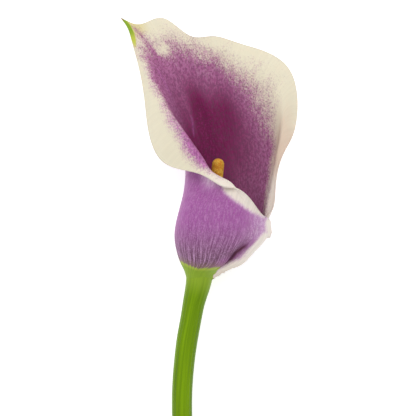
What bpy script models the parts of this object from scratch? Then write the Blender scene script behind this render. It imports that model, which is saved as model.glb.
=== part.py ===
"""Calla lily flower with its cut stem, lying on its back.

Metres, +Z up. The origin is the middle of the small flat spot under the flower that it
rests on. The stem runs along -Y, and the mouth of the flower looks up along +Z.
The flower is one bract wrapped into a tube, with a finger of florets inside.
"""

import bpy
import numpy as np

MM = 0.001

# Bract, in mm. It is described by veins that run from the stem to the rim, and by hoops
# round the tube. Angles go round the tube: 0 right, 90 front (up), 180 left, 270 back.
SHEET = 1.0
REST_HEIGHT = 0.5 * SHEET
ROWS_TUBE, ROWS_LIMB, ROWS_ROLL = 8, 13, 6
COLUMNS_WRAP, COLUMNS_LOBE, COLUMNS_BACK = 16, 18, 24
BELLY_SHARE, CREST_SHARE = 0.32, 0.78
LIMB_CROWDING, ROLL_CROWDING = 1.35, 1.25
CHORD_POWER = 0.8
VEIN_SAMPLES, EASING_MM, EASING_PASSES = 161, 1.3, 90

# Hoops from the stem up to the belly: height along Y, centre X, half width, centre Z,
# half depth, how far the inner layer of the overlap lies inside the outer one, and the
# share of its full overlap that it has there.
HOOPS = (
    (-37.0, -10.4, 6.7, 16.0, 6.7, 1.5, 0.6),
    (-33.2, -5.4, 13.9, 15.6, 11.6, 2.2, 0.6),
    (-26.9, -3.0, 18.5, 15.5, 15.1, 2.6, 0.7),
    (-18.8, -0.3, 22.2, 15.8, 16.3, 2.6, 0.7),
)
NECK_HOOP = (-4.9, 1.8, 21.3, 16.0, 16.6, 0.4)

# The neck hoop slopes up to the front: share of the way to the crest, the sines of the
# angle between which it rises, and the angles between which the inner margin rises too.
FRONT_RISE = 0.45
FRONT_SINES = (-0.2, 0.7)
MARGIN_RISE = (345.0, 395.0)

# The inner layer of the overlap moves inwards between these angles on the hoops, and by
# these amounts, in mm, at these angles on the neck hoop.
INSET_ANGLES = (300.0, 360.0)
NECK_INSET_ANGLES = (300.0, 360.0, 375.0, 400.0)
NECK_INSETS = (0.0, 0.8, 1.4, 2.6)

# Veins: name of the place where each one meets the rim, angle at the tube, the highest
# point of the roll, the rim, and how far the middle of the limb leans right and sinks.
VEINS = (
    ("corner", 4, (22.9, -16.2, 17.4), (23.1, -13.3, 18.5), (0.0, 0.0)),
    ("corner_top", 22, (20.9, -13.8, 23.0), (21.9, -11.5, 23.8), (0.0, 0.0)),
    ("lip_right", 44, (16.6, -12.0, 28.0), (18.2, -9.0, 29.2), (0.0, 0.0)),
    ("lip_turn", 64, (12.0, -5.6, 30.9), (13.1, -2.4, 32.2), (0.0, 0.0)),
    ("lip_middle", 84, (6.2, 1.4, 31.8), (6.8, 3.1, 33.4), (0.0, 0.0)),
    ("lip_left", 102, (1.8, 7.3, 30.1), (-1.0, 3.0, 35.6), (0.0, 0.0)),
    ("throat", 120, (-3.9, 11.2, 29.6), (-8.7, 9.0, 30.9), (1.4, -2.0)),
    ("lobe_foot", 138, (-8.6, 17.2, 29.6), (-18.0, 11.7, 25.5), (2.9, -4.0)),
    ("lobe_low", 156, (-15.9, 26.0, 28.8), (-29.1, 16.6, 17.5), (3.8, -6.0)),
    ("lobe_middle", 174, (-23.0, 35.8, 26.2), (-35.1, 29.8, 12.5), (4.3, -6.0)),
    ("lobe_high", 192, (-29.5, 45.7, 20.5), (-37.1, 44.7, 11.0), (6.2, -5.0)),
    ("lobe_top", 209, (-34.9, 58.1, 14.0), (-39.7, 60.2, 10.0), (8.2, -3.5)),
    ("tip_left", 224, (-39.4, 70.4, 8.0), (-42.2, 73.0, 5.6), (9.6, -1.0)),
    ("tip", 236, (-39.8, 78.0, 3.6), (-43.0, 81.5, 1.2), (9.6, 0.3)),
    ("tip_right", 242, (-35.0, 80.0, 3.0), (-37.4, 83.6, 0.9), (8.6, 0.4)),
    ("peak", 252, (-25.7, 80.9, 3.8), (-27.7, 85.6, 1.8), (5.8, 0.0)),
    ("dip", 265, (-14.1, 72.6, 6.5), (-15.5, 77.0, 6.0), (2.9, -0.8)),
    ("top", 277, (-3.9, 72.0, 8.0), (-4.4, 76.6, 7.5), (1.4, -2.0)),
    ("top_right", 290, (6.7, 68.9, 10.0), (7.7, 73.3, 8.0), (0.0, -2.0)),
    ("shoulder_in", 303, (17.7, 64.0, 12.0), (20.5, 69.2, 8.5), (0.0, -2.0)),
    ("shoulder", 316, (26.3, 56.6, 14.5), (31.1, 62.1, 9.5), (0.0, -2.0)),
    ("right_high", 329, (30.6, 46.9, 16.5), (35.6, 50.5, 11.5), (0.0, -2.0)),
    ("right_side", 341, (31.0, 36.3, 17.6), (35.7, 37.4, 14.0), (0.0, -2.0)),
    ("right_low", 352, (29.2, 24.8, 18.2), (32.8, 26.2, 17.4), (0.0, -1.8)),
    ("right_waist", 363, (26.2, 12.6, 18.0), (28.2, 16.1, 19.6), (0.0, -1.0)),
    ("right_edge", 375, (23.8, -0.5, 18.2), (25.6, 3.7, 20.4), (0.0, 0.0)),
    ("right_foot", 387, (22.4, -10.2, 19.3), (24.3, -6.3, 20.8), (0.0, 0.0)),
    ("inner_end", 400, (17.9, -15.9, 22.3), (18.7, -13.5, 22.3), (0.0, 0.0)),
)
MARGIN_ANGLE = VEINS[0][1]

# The green point at the tip: how far it is drawn out, its width across the veins, and
# the shares of the vein between which the pull grows.
CUSP_PULL, CUSP_WIDTH = (-6.2, 4.3, -1.0), 0.018
CUSP_GROWS = (0.6, 1.0)

# The fold near the outer margin and the puffed band beside it: angle, width and height,
# and the shares of the vein between which they grow and fade.
CREASE_ANGLE, CREASE_WIDTH, CREASE_DEPTH = 50.0, 8.0, 1.8
PUFF_ANGLE, PUFF_WIDTH, PUFF_HEIGHT = 26.0, 12.0, 0.8
FOLD_GROWS, FOLD_FADES = (0.02, 0.10), (0.17, 0.33)

# The step in the outer margin, and the tail with which it runs past the top of the stem.
STEP_OUT, STEP_WIDTH = 0.7, 5.0
STEP_GROWS, STEP_FADES = (0.30, 0.33), (0.65, 0.95)
TAIL_DOWN, TAIL_OUT, TAIL_WIDTH = 2.6, 1.0, 14.0

# Stem, in mm: points of its middle line with the radius there. It begins with the neck
# that the bract and the florets grow round, and the shoulder below them.
STEM_SIDES_RESOLUTION = 3
STEM_STEPS = 34
NECK_RADIUS, NECK_TOP_Y, SHOULDER_Y = 4.1, -32.2, -37.9
NECK_BEVEL, SHOULDER_BEVEL, SHOULDER_LIP = 0.6, 0.4, 0.1
STEM_LINE = (
    (-10.4, -37.9, 16.0, 6.4),
    (-11.3, -42.8, 15.6, 6.0),
    (-13.3, -50.5, 14.6, 5.4),
    (-15.1, -60.1, 13.2, 5.1),
    (-16.7, -68.9, 11.8, 5.1),
    (-17.9, -77.6, 10.3, 5.0),
    (-18.9, -87.8, 8.5, 4.95),
    (-19.4, -99.0, 6.8, 4.9),
    (-19.2, -112.0, 5.3, 4.9),
    (-18.5, -126.0, 4.8, 4.9),
    (-17.0, -150.0, 4.8, 4.9),
    (-15.0, -175.0, 4.8, 4.9),
    (-10.7, -215.8, 4.8, 4.9),
)

# Spadix, in mm: its middle line, and its two zones of florets.
SPADIX_LINE = (
    (-10.3, -31.3, 16.0),
    (-9.8, -27.5, 15.8),
    (-7.8, -20.7, 15.5),
    (-4.9, -5.4, 16.0),
    (-2.7, 8.0, 17.0),
    (-1.7, 17.4, 17.8),
)
ZONE_GAP = 0.3
OVARY_SHARE = 0.33
OVARY_RADIUS, OVARY_RELIEF, OVARY_ROUND, OVARY_ALONG = 3.7, 0.35, 20, 14
POLLEN_RADIUS, POLLEN_RELIEF, POLLEN_ROUND, POLLEN_ALONG = 3.0, 0.22, 24, 36
POLLEN_START = 0.7


def smooth_step(value):
    """Rises from 0 to 1 as value goes from 0 to 1, with level ends."""
    value = np.clip(value, 0.0, 1.0)
    return value * value * (3.0 - 2.0 * value)


def ramp(value, ends):
    """Rises smoothly from 0 to 1 as value goes from the first to the second of ends."""
    return smooth_step((value - ends[0]) / (ends[1] - ends[0]))


def spline_through(knots, points, where):
    """Natural cubic spline through points (first axis) at knots, read at where."""
    knots = np.asarray(knots, float)
    points = np.asarray(points, float)
    count = len(knots)
    step = np.diff(knots)
    flat = points.reshape(count, -1)
    system = np.eye(count)
    right = np.zeros_like(flat)
    slope = np.diff(flat, axis=0) / step[:, None]
    for i in range(1, count - 1):
        system[i, i - 1 : i + 2] = step[i - 1], 2.0 * (step[i - 1] + step[i]), step[i]
        right[i] = 6.0 * (slope[i] - slope[i - 1])
    bend = np.linalg.solve(system, right)
    where = np.asarray(where, float)
    k = np.clip(np.searchsorted(knots, where, side="right") - 1, 0, count - 2)
    h = step[k][:, None]
    after = where[:, None] - knots[k][:, None]
    before = h - after
    curve = (bend[k] * before**3 + bend[k + 1] * after**3) / (6.0 * h)
    curve += (flat[k] / h - bend[k] * h / 6.0) * before
    curve += (flat[k + 1] / h - bend[k + 1] * h / 6.0) * after
    return curve.reshape((len(where),) + points.shape[1:])


def material(name, colour, roughness):
    """Plain Principled material from a linear colour."""
    made = bpy.data.materials.new(name)
    made.use_nodes = True
    shader = made.node_tree.nodes["Principled BSDF"]
    shader.inputs["Base Color"].default_value = (*colour, 1.0)
    shader.inputs["Roughness"].default_value = roughness
    shader.inputs["Metallic"].default_value = 0.0
    return made


def mesh_object(name, points_mm, faces, collection, finish):
    """Object from points in mm and faces, shaded smooth."""
    mesh = bpy.data.meshes.new(name)
    mesh.from_pydata((np.asarray(points_mm) * MM).tolist(), [], faces)
    mesh.materials.append(finish)
    mesh.shade_smooth()
    made = bpy.data.objects.new(name, mesh)
    collection.objects.link(made)
    return made


def grid_triangles(rows, columns, closed=False):
    """Triangles of a grid of points, all split along the same diagonal."""
    index = np.arange(rows * columns).reshape(rows, columns)
    right = np.roll(index, -1, axis=1) if closed else index[:, 1:]
    left = index if closed else index[:, :-1]
    a, b, c, d = left[:-1], left[1:], right[1:], right[:-1]
    halves = np.stack([np.stack([a, b, c], -1), np.stack([a, c, d], -1)], 2)
    return halves.reshape(-1, 3).tolist()


def tucked_angle(angle, tuck):
    """Cosine and sine of the angle, whose part past a full turn is scaled by tuck."""
    turned = np.where(angle > 360.0, 360.0 + (angle - 360.0) * tuck, angle)
    return np.cos(np.radians(turned)), np.sin(np.radians(turned))


def vein_net():
    """Points where veins cross the hoops: 4 hoops, neck, middle, crest and rim."""
    angle = np.array([vein[1] for vein in VEINS], float)
    crest = np.array([vein[2] for vein in VEINS])
    rim = np.array([vein[3] for vein in VEINS])
    lean = np.array([vein[4] for vein in VEINS])
    inside = ramp(angle, INSET_ANGLES)
    tail = np.exp(-(angle - MARGIN_ANGLE) / TAIL_WIDTH)
    levels = []
    for y, centre_x, wide, centre_z, deep, inset, tuck in HOOPS:
        cosine, sine = tucked_angle(angle, tuck)
        x = centre_x + (wide - inside * inset) * cosine
        z = centre_z + (deep - inside * inset) * sine
        levels.append(np.stack([x, np.full_like(x, y), z], -1))
    levels[0] += tail[:, None] * np.array([TAIL_OUT, -TAIL_DOWN, 0.0])

    belly_y, belly_x, belly_wide, *_, belly_tuck = HOOPS[-1]
    neck_y, neck_x, neck_wide, neck_z, neck_deep, neck_tuck = NECK_HOOP
    rising = ramp(np.sin(np.radians(angle)), FRONT_SINES)
    rising = np.where(angle > 360.0, ramp(angle, MARGIN_RISE), rising)
    rising = np.where(angle < 90.0, 1.0, rising)
    front_y = belly_y + FRONT_RISE * (crest[:, 1] - belly_y)
    y = neck_y + rising * (front_y - neck_y)
    share = (y - belly_y) / (neck_y - belly_y)
    cosine, sine = tucked_angle(angle, belly_tuck + (neck_tuck - belly_tuck) * share)
    inset = np.interp(angle, NECK_INSET_ANGLES, NECK_INSETS)
    wide = belly_wide + (neck_wide - belly_wide) * share - inset
    x = belly_x + (neck_x - belly_x) * share + wide * cosine
    neck = np.stack([x, y, neck_z + (neck_deep - inset) * sine], -1)

    middle = 0.5 * (neck + crest)
    middle[:, 0] += lean[:, 0]
    middle[:, 2] += lean[:, 1]
    return np.array([*levels, neck, middle, crest, rim]), angle


def bent_vein(line, belly, crest, rows):
    """One vein through its net points, its bends eased as a stiff sheet eases them.

    The belly and the crest of the vein fall on BELLY_SHARE and CREST_SHARE of the rows.
    """
    chord = np.linalg.norm(np.diff(line, axis=0), axis=1) ** CHORD_POWER
    along = np.concatenate([[0.0], np.cumsum(chord)]) / chord.sum()
    share = np.linspace(0.0, 1.0, VEIN_SAMPLES)
    curve = spline_through(along, line, share)
    steps = np.linalg.norm(np.diff(curve, axis=0), axis=1)
    length = np.concatenate([[0.0], np.cumsum(steps)])
    even = share * length[-1]
    curve = np.stack([np.interp(even, length, axis) for axis in curve.T], -1)
    rate = EASING_MM**2 / (2.0 * even[1] ** 2 * EASING_PASSES)
    for _ in range(EASING_PASSES):
        curve[1:-1] += rate * (curve[:-2] - 2.0 * curve[1:-1] + curve[2:])
    marks = np.interp((0.0, along[belly], along[crest], 1.0), share, length)
    at = np.interp(rows, (0.0, BELLY_SHARE, CREST_SHARE, 1.0), marks)
    return np.stack([np.interp(at, even, axis) for axis in curve.T], -1)


def bract_surface():
    """Middle surface of the bract on a grid of rows along the veins and columns across."""
    net, angle = vein_net()
    belly, crest = len(HOOPS) - 1, len(net) - 2
    rows = np.concatenate([
        np.linspace(0.0, BELLY_SHARE, ROWS_TUBE, endpoint=False),
        BELLY_SHARE + (CREST_SHARE - BELLY_SHARE)
        * (1.0 - np.linspace(1.0, 0.0, ROWS_LIMB, endpoint=False) ** LIMB_CROWDING),
        CREST_SHARE
        + (1.0 - CREST_SHARE) * np.linspace(0.0, 1.0, ROWS_ROLL + 1) ** ROLL_CROWDING,
    ])
    names = [vein[0] for vein in VEINS]
    place = np.linspace(0.0, 1.0, len(names))
    lip, tip = place[names.index("lip_middle")], place[names.index("tip")]
    columns = np.concatenate([
        np.linspace(0.0, lip, COLUMNS_WRAP, endpoint=False),
        np.linspace(lip, tip, COLUMNS_LOBE, endpoint=False),
        np.linspace(tip, 1.0, COLUMNS_BACK + 1),
    ])

    veins = [bent_vein(line, belly, crest, rows) for line in np.moveaxis(net, 1, 0)]
    surface = np.moveaxis(spline_through(place, veins, columns), 0, 1)
    angles = np.interp(columns, place, angle)

    outward = np.cross(np.gradient(surface, axis=0), np.gradient(surface, axis=1))
    outward /= np.linalg.norm(outward, axis=-1, keepdims=True)
    low = ramp(rows, FOLD_GROWS) * (1.0 - ramp(rows, FOLD_FADES))
    crease = CREASE_DEPTH * np.exp(-(((angles - CREASE_ANGLE) / CREASE_WIDTH) ** 2))
    puff = PUFF_HEIGHT * np.exp(-(((angles - PUFF_ANGLE) / PUFF_WIDTH) ** 2))
    surface += outward * np.outer(low, puff - crease)[..., None]

    at_corner = ramp(rows, STEP_GROWS) * (1.0 - ramp(rows, STEP_FADES))
    margin = np.exp(-(angles - MARGIN_ANGLE) / STEP_WIDTH)
    surface[..., 0] += STEP_OUT * np.outer(at_corner, margin)

    pull = np.outer(ramp(rows, CUSP_GROWS) ** 2, np.exp(-np.abs(columns - tip) / CUSP_WIDTH))
    surface += pull[..., None] * np.array(CUSP_PULL)
    surface[..., 2] = np.maximum(surface[..., 2], REST_HEIGHT)
    return surface


def build_bract(collection):
    """The one bract: its middle surface, given its thickness by Solidify."""
    surface = bract_surface()
    rows, columns = surface.shape[:2]
    finish = material("bract", (0.32, 0.12, 0.28), 0.45)
    bract = mesh_object(
        "spathe", surface.reshape(-1, 3), grid_triangles(rows, columns), collection, finish
    )
    wall = bract.modifiers.new("wall", "SOLIDIFY")
    wall.thickness = SHEET * MM
    wall.offset = 0.0


def build_stem(collection):
    """The stem: a tapering tube along its middle line, with its shoulder and neck."""
    line = np.array(STEM_LINE)
    along = np.concatenate([[0.0], np.cumsum(np.linalg.norm(np.diff(line[:, :3], axis=0), axis=1))])
    body = spline_through(along, line, np.linspace(0.0, along[-1], STEM_STEPS))
    x, _, z, _ = line[0]
    neck = np.array([
        (x, NECK_TOP_Y, z, NECK_RADIUS - NECK_BEVEL),
        (x, NECK_TOP_Y - NECK_BEVEL, z, NECK_RADIUS),
        (x, SHOULDER_Y + SHOULDER_BEVEL, z, NECK_RADIUS),
        (x, SHOULDER_Y + SHOULDER_BEVEL - SHOULDER_LIP, z, line[0, 3] - SHOULDER_BEVEL),
    ])
    points = np.vstack([neck, body])
    curve = bpy.data.curves.new("stem", "CURVE")
    curve.dimensions = "3D"
    curve.twist_mode = "Z_UP"
    curve.bevel_depth = MM
    curve.bevel_resolution = STEM_SIDES_RESOLUTION
    curve.use_fill_caps = True
    spline = curve.splines.new("POLY")
    spline.points.add(len(points) - 1)
    for point, (px, py, pz, radius) in zip(spline.points, points):
        point.co = (px * MM, py * MM, pz * MM, 1.0)
        point.radius = radius
    curve.materials.append(material("stem", (0.19, 0.36, 0.03), 0.4))
    collection.objects.link(bpy.data.objects.new("stem", curve))


def floret_zone(name, start, end, radius, relief, around, along, blunt_start, collection, finish):
    """Part of the spadix from start to end of its length (shares), with raised florets.

    Every second point of a staggered grid stands out by relief. The top is rounded, and
    the start narrows to POLLEN_START of the radius unless it is blunt.
    """
    line = np.array(SPADIX_LINE)
    length = np.concatenate([[0.0], np.cumsum(np.linalg.norm(np.diff(line, axis=0), axis=1))])
    first, last = start * length[-1], end * length[-1]
    turn = np.linspace(0.0, 1.0, along)
    place = first + (last - first) * turn
    middle = spline_through(length, line, place)
    tangent = np.gradient(middle, axis=0)
    tangent /= np.linalg.norm(tangent, axis=1, keepdims=True)
    side = np.cross(tangent, (0.0, 0.0, 1.0))
    side /= np.linalg.norm(side, axis=1, keepdims=True)
    up = np.cross(side, tangent)

    to_end = np.clip((last - place) / radius, 0.0, 1.0)
    size = radius * np.sqrt(1.0 - (1.0 - to_end) ** 2)
    if not blunt_start:
        to_start = np.clip((place - first) / radius, 0.0, 1.0)
        narrowing = np.sqrt(1.0 - (1.0 - to_start) ** 2)
        size = np.minimum(size, radius * (POLLEN_START + (1.0 - POLLEN_START) * narrowing))
    size, middle, side, up = size[:-1], middle[:-1], side[:-1], up[:-1]
    round_angle = 2.0 * np.pi * np.arange(around) / around
    raised = (np.arange(len(size))[:, None] + np.arange(around)[None, :]) % 2
    out = size[:, None] - relief * (1 - raised) * np.minimum(1.0, size[:, None] / radius)
    ring = middle[:, None] + out[..., None] * (
        np.cos(round_angle)[None, :, None] * side[:, None]
        + np.sin(round_angle)[None, :, None] * up[:, None]
    )
    faces = grid_triangles(len(size), around, closed=True)
    count = len(size) * around
    end_point = spline_through(length, line, [last])[0]
    points = np.vstack([ring.reshape(-1, 3), middle[0], end_point])
    for i in range(around):
        j = (i + 1) % around
        faces.append([count, i, j])
        faces.append([count + 1, count - around + j, count - around + i])
    mesh_object(name, points, faces, collection, finish)


def build_spadix(collection):
    """The finger of florets: green ovaries below, golden pollen florets above."""
    length = np.linalg.norm(np.diff(np.array(SPADIX_LINE), axis=0), axis=1).sum()
    green = material("ovary_florets", (0.45, 0.52, 0.2), 0.5)
    gold = material("pollen_florets", (0.6, 0.31, 0.05), 0.8)
    floret_zone("spadix_ovary_zone", 0.0, OVARY_SHARE, OVARY_RADIUS, OVARY_RELIEF,
                OVARY_ROUND, OVARY_ALONG, True, collection, green)
    floret_zone("spadix_pollen_zone", OVARY_SHARE + ZONE_GAP / length, 1.0, POLLEN_RADIUS,
                POLLEN_RELIEF, POLLEN_ROUND, POLLEN_ALONG, False, collection, gold)


def main():
    for old in list(bpy.data.objects):
        bpy.data.objects.remove(old, do_unlink=True)
    collection = bpy.data.collections.new("calla_lily_flower")
    bpy.context.scene.collection.children.link(collection)
    build_bract(collection)
    build_stem(collection)
    build_spadix(collection)


main()
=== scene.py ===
"""Looks of a calla lily flower with its cut stem, lying on its back.

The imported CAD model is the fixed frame. Each piece made here stands for one of its nodes in
finer form: the bract, the two zones of the spadix and the stem. Sizes are in millimetres on
the frame's own axes (X right, Y towards the tip, Z up), and mesh_object turns them to metres.
"""

import logging
import math
from dataclasses import dataclass
from enum import Enum

import bpy
import numpy as np
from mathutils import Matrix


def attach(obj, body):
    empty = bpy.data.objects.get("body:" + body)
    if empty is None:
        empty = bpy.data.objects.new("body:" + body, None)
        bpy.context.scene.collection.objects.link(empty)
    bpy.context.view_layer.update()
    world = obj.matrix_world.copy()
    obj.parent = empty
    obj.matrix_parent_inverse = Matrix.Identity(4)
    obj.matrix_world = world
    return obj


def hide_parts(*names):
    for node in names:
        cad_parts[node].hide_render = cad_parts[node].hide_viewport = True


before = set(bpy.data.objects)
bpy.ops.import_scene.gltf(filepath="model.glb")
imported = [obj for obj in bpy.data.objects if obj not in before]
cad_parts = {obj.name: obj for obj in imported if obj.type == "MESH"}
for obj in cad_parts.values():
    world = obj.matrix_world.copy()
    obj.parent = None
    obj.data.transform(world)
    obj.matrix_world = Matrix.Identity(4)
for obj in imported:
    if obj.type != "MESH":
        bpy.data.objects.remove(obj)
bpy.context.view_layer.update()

log = logging.getLogger("calla_lily")

MM = 0.001
IMAGE_PIXELS = 416
BODY = "root"

# Numbers of the sockets that share a name on the Mix node.
FACTOR, FIRST, SECOND, MIXED = 0, 6, 7, 2
RGB_MIX = {"data_type": "RGBA"}

Point = tuple[float, float, float]
# X and Y, or where a step starts and where it ends.
Span = tuple[float, float]
# Places along one axis, and the value at each of them.
Track = tuple[tuple[float, ...], tuple[float, ...]]
# Plain white light, of the room and of the floor.
WHITE = (1.0, 1.0, 1.0, 1.0)
# Angles round the stem, in degrees: the front, and the line where the layers start to overlap.
FRONT, FULL_TURN = 90.0, 360.0
# The blush field is held within this many times its softness.
BLUSH_HELD = 4.0


class Face(Enum):
    """Faces of the bract, with the side of its middle surface that each one lies on."""

    INNER = -1.0
    OUTER = 1.0


@dataclass(frozen=True)
class Blush:
    """Where the plum of one face begins on a vein.

    Attributes:
        start: distance from the rim at which cream and plum share the face, in mm.
        soft: distance over which one gives way to the other, in mm.
        depth: how dark the plum grows further in, 0 to 1.
        near: distance from the rim at which it starts to darken, in mm.
        far: distance from the rim at which it is as dark as its depth says, in mm.
    """

    start: float
    soft: float
    depth: float
    near: float
    far: float


@dataclass(frozen=True)
class Vein:
    """One line of the bract from the stem to the rim.

    Attributes:
        name: place where it meets the rim.
        angle: where it leaves the stem, in degrees (0 right, 90 front, 180 left, 270 back).
        crest: highest point of its roll.
        rim: its end.
        lean: how far the middle of the limb moves right (X) and up (Z).
        inner: plum of the inner face.
        outer: plum of the outer face.
    """

    name: str
    angle: float
    crest: Point
    rim: Point
    lean: tuple[float, float]
    inner: Blush
    outer: Blush


@dataclass(frozen=True)
class Hoop:
    """One ring round the tube of the bract.

    Attributes:
        y: its height along the flower.
        x: centre across.
        wide: half width.
        z: centre above the surface.
        deep: half depth.
        inset: how far the inner layer of the overlap lies inside the outer one.
        tuck: share of its full overlap that the inner layer has there.
    """

    y: float
    x: float
    wide: float
    z: float
    deep: float
    inset: float
    tuck: float


HOOPS = (
    Hoop(-41.0, -11.15, 5.9, 15.75, 5.9, 1.5, 0.6),
    Hoop(-37.3, -10.5, 6.8, 16.0, 6.7, 1.5, 0.6),
    Hoop(-33.2, -5.4, 13.9, 15.6, 11.6, 2.2, 0.6),
    Hoop(-26.9, -3.0, 18.5, 15.5, 15.1, 2.6, 0.7),
    Hoop(-18.8, -0.3, 22.2, 15.8, 16.3, 2.6, 0.7),
)
NECK_HOOP = Hoop(-4.9, 1.8, 21.3, 16.0, 16.6, 0.0, 0.4)

VEINS = (
    Vein("corner", 4, (22.9, -16.2, 17.4), (23.1, -13.3, 18.5), (0.0, 0.0),
         Blush(20, 6, 0.5, 24, 40), Blush(1.2, 1.5, 0.3, 6, 20)),
    Vein("corner_top", 22, (20.9, -13.8, 23.0), (21.9, -11.5, 23.8), (0.0, 0.0),
         Blush(14, 5, 0.6, 18, 34), Blush(1.2, 1.5, 0.5, 5, 16)),
    Vein("lip_right", 44, (16.6, -12.0, 28.0), (18.2, -9.0, 29.2), (0.0, 0.0),
         Blush(10, 4, 0.7, 14, 30), Blush(1.2, 1.8, 0.7, 4, 14)),
    Vein("lip_turn", 64, (12.0, -5.2, 31.0), (13.1, -2.2, 32.3), (0.0, 0.0),
         Blush(8, 3, 0.8, 10, 24), Blush(5.6, 1.4, 0.9, 7, 11)),
    Vein("lip_middle", 84, (6.2, 3.6, 32.0), (6.4, 2.9, 33.6), (0.0, 0.0),
         Blush(7, 3, 0.9, 9, 22), Blush(8.6, 2, 1, 10, 14)),
    Vein("lip_left", 102, (2.4, 7.1, 30.3), (-0.1, 4.0, 34.6), (0.0, 0.0),
         Blush(8, 3, 1, 9, 20), Blush(5.0, 1.6, 1, 6, 11)),
    Vein("throat", 120, (-5.0, 11.2, 29.6), (-8.7, 9.0, 30.9), (1.4, -2.0),
         Blush(2.3, 1.5, 1, 4, 14), Blush(5.5, 2, 1, 7, 14)),
    Vein("lobe_foot", 138, (-9.5, 17.2, 29.6), (-18.0, 11.7, 25.5), (2.9, -4.0),
         Blush(5.2, 1.8, 1, 9, 20), Blush(12, 5, 1, 13, 30)),
    Vein("lobe_low", 156, (-15.9, 26.0, 28.8), (-29.1, 16.6, 17.5), (3.8, -6.0),
         Blush(17.8, 2, 1, 20, 34), Blush(22, 8, 0.9, 26, 40)),
    Vein("lobe_middle", 174, (-23.0, 35.8, 26.2), (-35.1, 29.8, 12.5), (4.3, -6.0),
         Blush(19.3, 2.6, 1, 22, 44), Blush(30, 12, 0.7, 36, 56)),
    Vein("lobe_high", 192, (-29.5, 45.7, 20.5), (-37.1, 44.7, 11.0), (6.2, -5.0),
         Blush(13, 2.8, 0.95, 17, 54), Blush(34, 14, 0.7, 40, 64)),
    Vein("lobe_top", 209, (-34.9, 58.1, 14.0), (-39.7, 60.2, 10.0), (8.2, -3.5),
         Blush(5, 2.5, 0.85, 18, 64), Blush(36, 16, 0.7, 44, 70)),
    Vein("tip_left", 224, (-39.4, 70.4, 8.0), (-43.0, 73.0, 5.6), (9.6, -1.0),
         Blush(5.8, 3.5, 0.95, 14, 60), Blush(40, 18, 0.65, 50, 78)),
    Vein("tip", 236, (-39.8, 78.0, 3.6), (-43.0, 81.5, 1.2), (9.6, 0.3),
         Blush(9.5, 8, 1, 22, 90), Blush(44, 20, 0.6, 54, 84)),
    Vein("tip_right", 242, (-35.0, 80.0, 3.0), (-37.4, 83.6, 0.9), (8.6, 0.4),
         Blush(14, 5, 1, 20, 54), Blush(44, 20, 0.6, 54, 84)),
    Vein("peak", 252, (-25.7, 80.9, 3.8), (-27.7, 85.6, 1.8), (5.8, 0.0),
         Blush(14, 5.5, 1, 24, 46), Blush(46, 20, 0.6, 56, 84)),
    Vein("dip", 265, (-14.1, 72.6, 6.5), (-15.5, 77.0, 6.0), (2.9, -0.8),
         Blush(4.5, 6, 0.95, 12, 40), Blush(44, 20, 0.6, 54, 80)),
    Vein("top", 277, (-3.9, 72.0, 8.0), (-4.4, 76.6, 7.5), (1.4, -2.0),
         Blush(10, 3.5, 0.9, 13, 37), Blush(46, 20, 0.6, 56, 82)),
    Vein("top_right", 290, (6.7, 68.9, 10.0), (7.7, 73.3, 8.0), (0.0, -2.0),
         Blush(13.2, 5, 0.82, 15, 39), Blush(48, 20, 0.6, 58, 84)),
    Vein("shoulder_in", 303, (17.7, 64.0, 12.0), (20.5, 69.2, 8.5), (0.0, -2.0),
         Blush(19.5, 8, 0.7, 24, 54), Blush(50, 20, 0.6, 60, 86)),
    Vein("shoulder", 316, (26.3, 56.6, 14.5), (31.1, 62.1, 9.5), (0.0, -2.0),
         Blush(28, 13, 0.5, 36, 66), Blush(50, 20, 0.6, 60, 86)),
    Vein("right_high", 329, (30.6, 46.9, 16.5), (35.6, 50.5, 11.5), (0.0, -2.0),
         Blush(32, 10, 0, 60, 80), Blush(46, 18, 0.6, 56, 80)),
    Vein("right_side", 341, (31.0, 36.3, 17.6), (35.7, 37.4, 14.0), (0.0, -2.0),
         Blush(60, 8, 0.3, 70, 90), Blush(42, 16, 0.6, 50, 72)),
    Vein("right_low", 352, (29.2, 24.8, 18.2), (32.8, 26.2, 17.4), (0.0, -1.8),
         Blush(36, 5, 0.45, 42, 60), Blush(36, 12, 0.6, 42, 60)),
    Vein("right_waist", 363, (26.2, 12.6, 18.0), (27.9, 16.1, 18.8), (0.0, -1.0),
         Blush(27, 4, 0.5, 32, 50), Blush(30, 10, 0.6, 34, 50)),
    Vein("right_edge", 375, (23.8, -0.5, 18.2), (25.6, 3.7, 19.3), (0.0, 0.0),
         Blush(18, 4, 0.45, 24, 40), Blush(24, 8, 0.6, 28, 42)),
    Vein("right_foot", 387, (22.4, -10.2, 19.3), (24.3, -6.3, 20.0), (0.0, 0.0),
         Blush(14, 5, 0.3, 20, 38), Blush(18, 6, 0.6, 22, 34)),
    Vein("inner_end", 400, (17.9, -15.9, 22.3), (18.7, -13.5, 22.3), (0.0, 0.0),
         Blush(12, 5, 0.25, 18, 34), Blush(16, 5, 0.6, 20, 30)),
)

LAST_VEIN = len(VEINS) - 1
# Place of the tip of the bract, from 0 at the first vein to 1 at the last.
TIP = [vein.name for vein in VEINS].index("tip") / LAST_VEIN


def linear(hex_colour: str) -> tuple[float, float, float, float]:
    """Turns an sRGB hex colour into Blender's linear colour.

    Each channel c becomes c / 12.92 up to 0.04045 and ((c + 0.055) / 1.055) ** 2.4 above.

    Args:
        hex_colour: six hex digits.

    Returns:
        Red, green, blue and an alpha of 1.
    """
    channels = [int(hex_colour[i:i + 2], 16) / 255.0 for i in (0, 2, 4)]
    bent = [c / 12.92 if c <= 0.04045 else ((c + 0.055) / 1.055) ** 2.4 for c in channels]
    return (*bent, 1.0)


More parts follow.
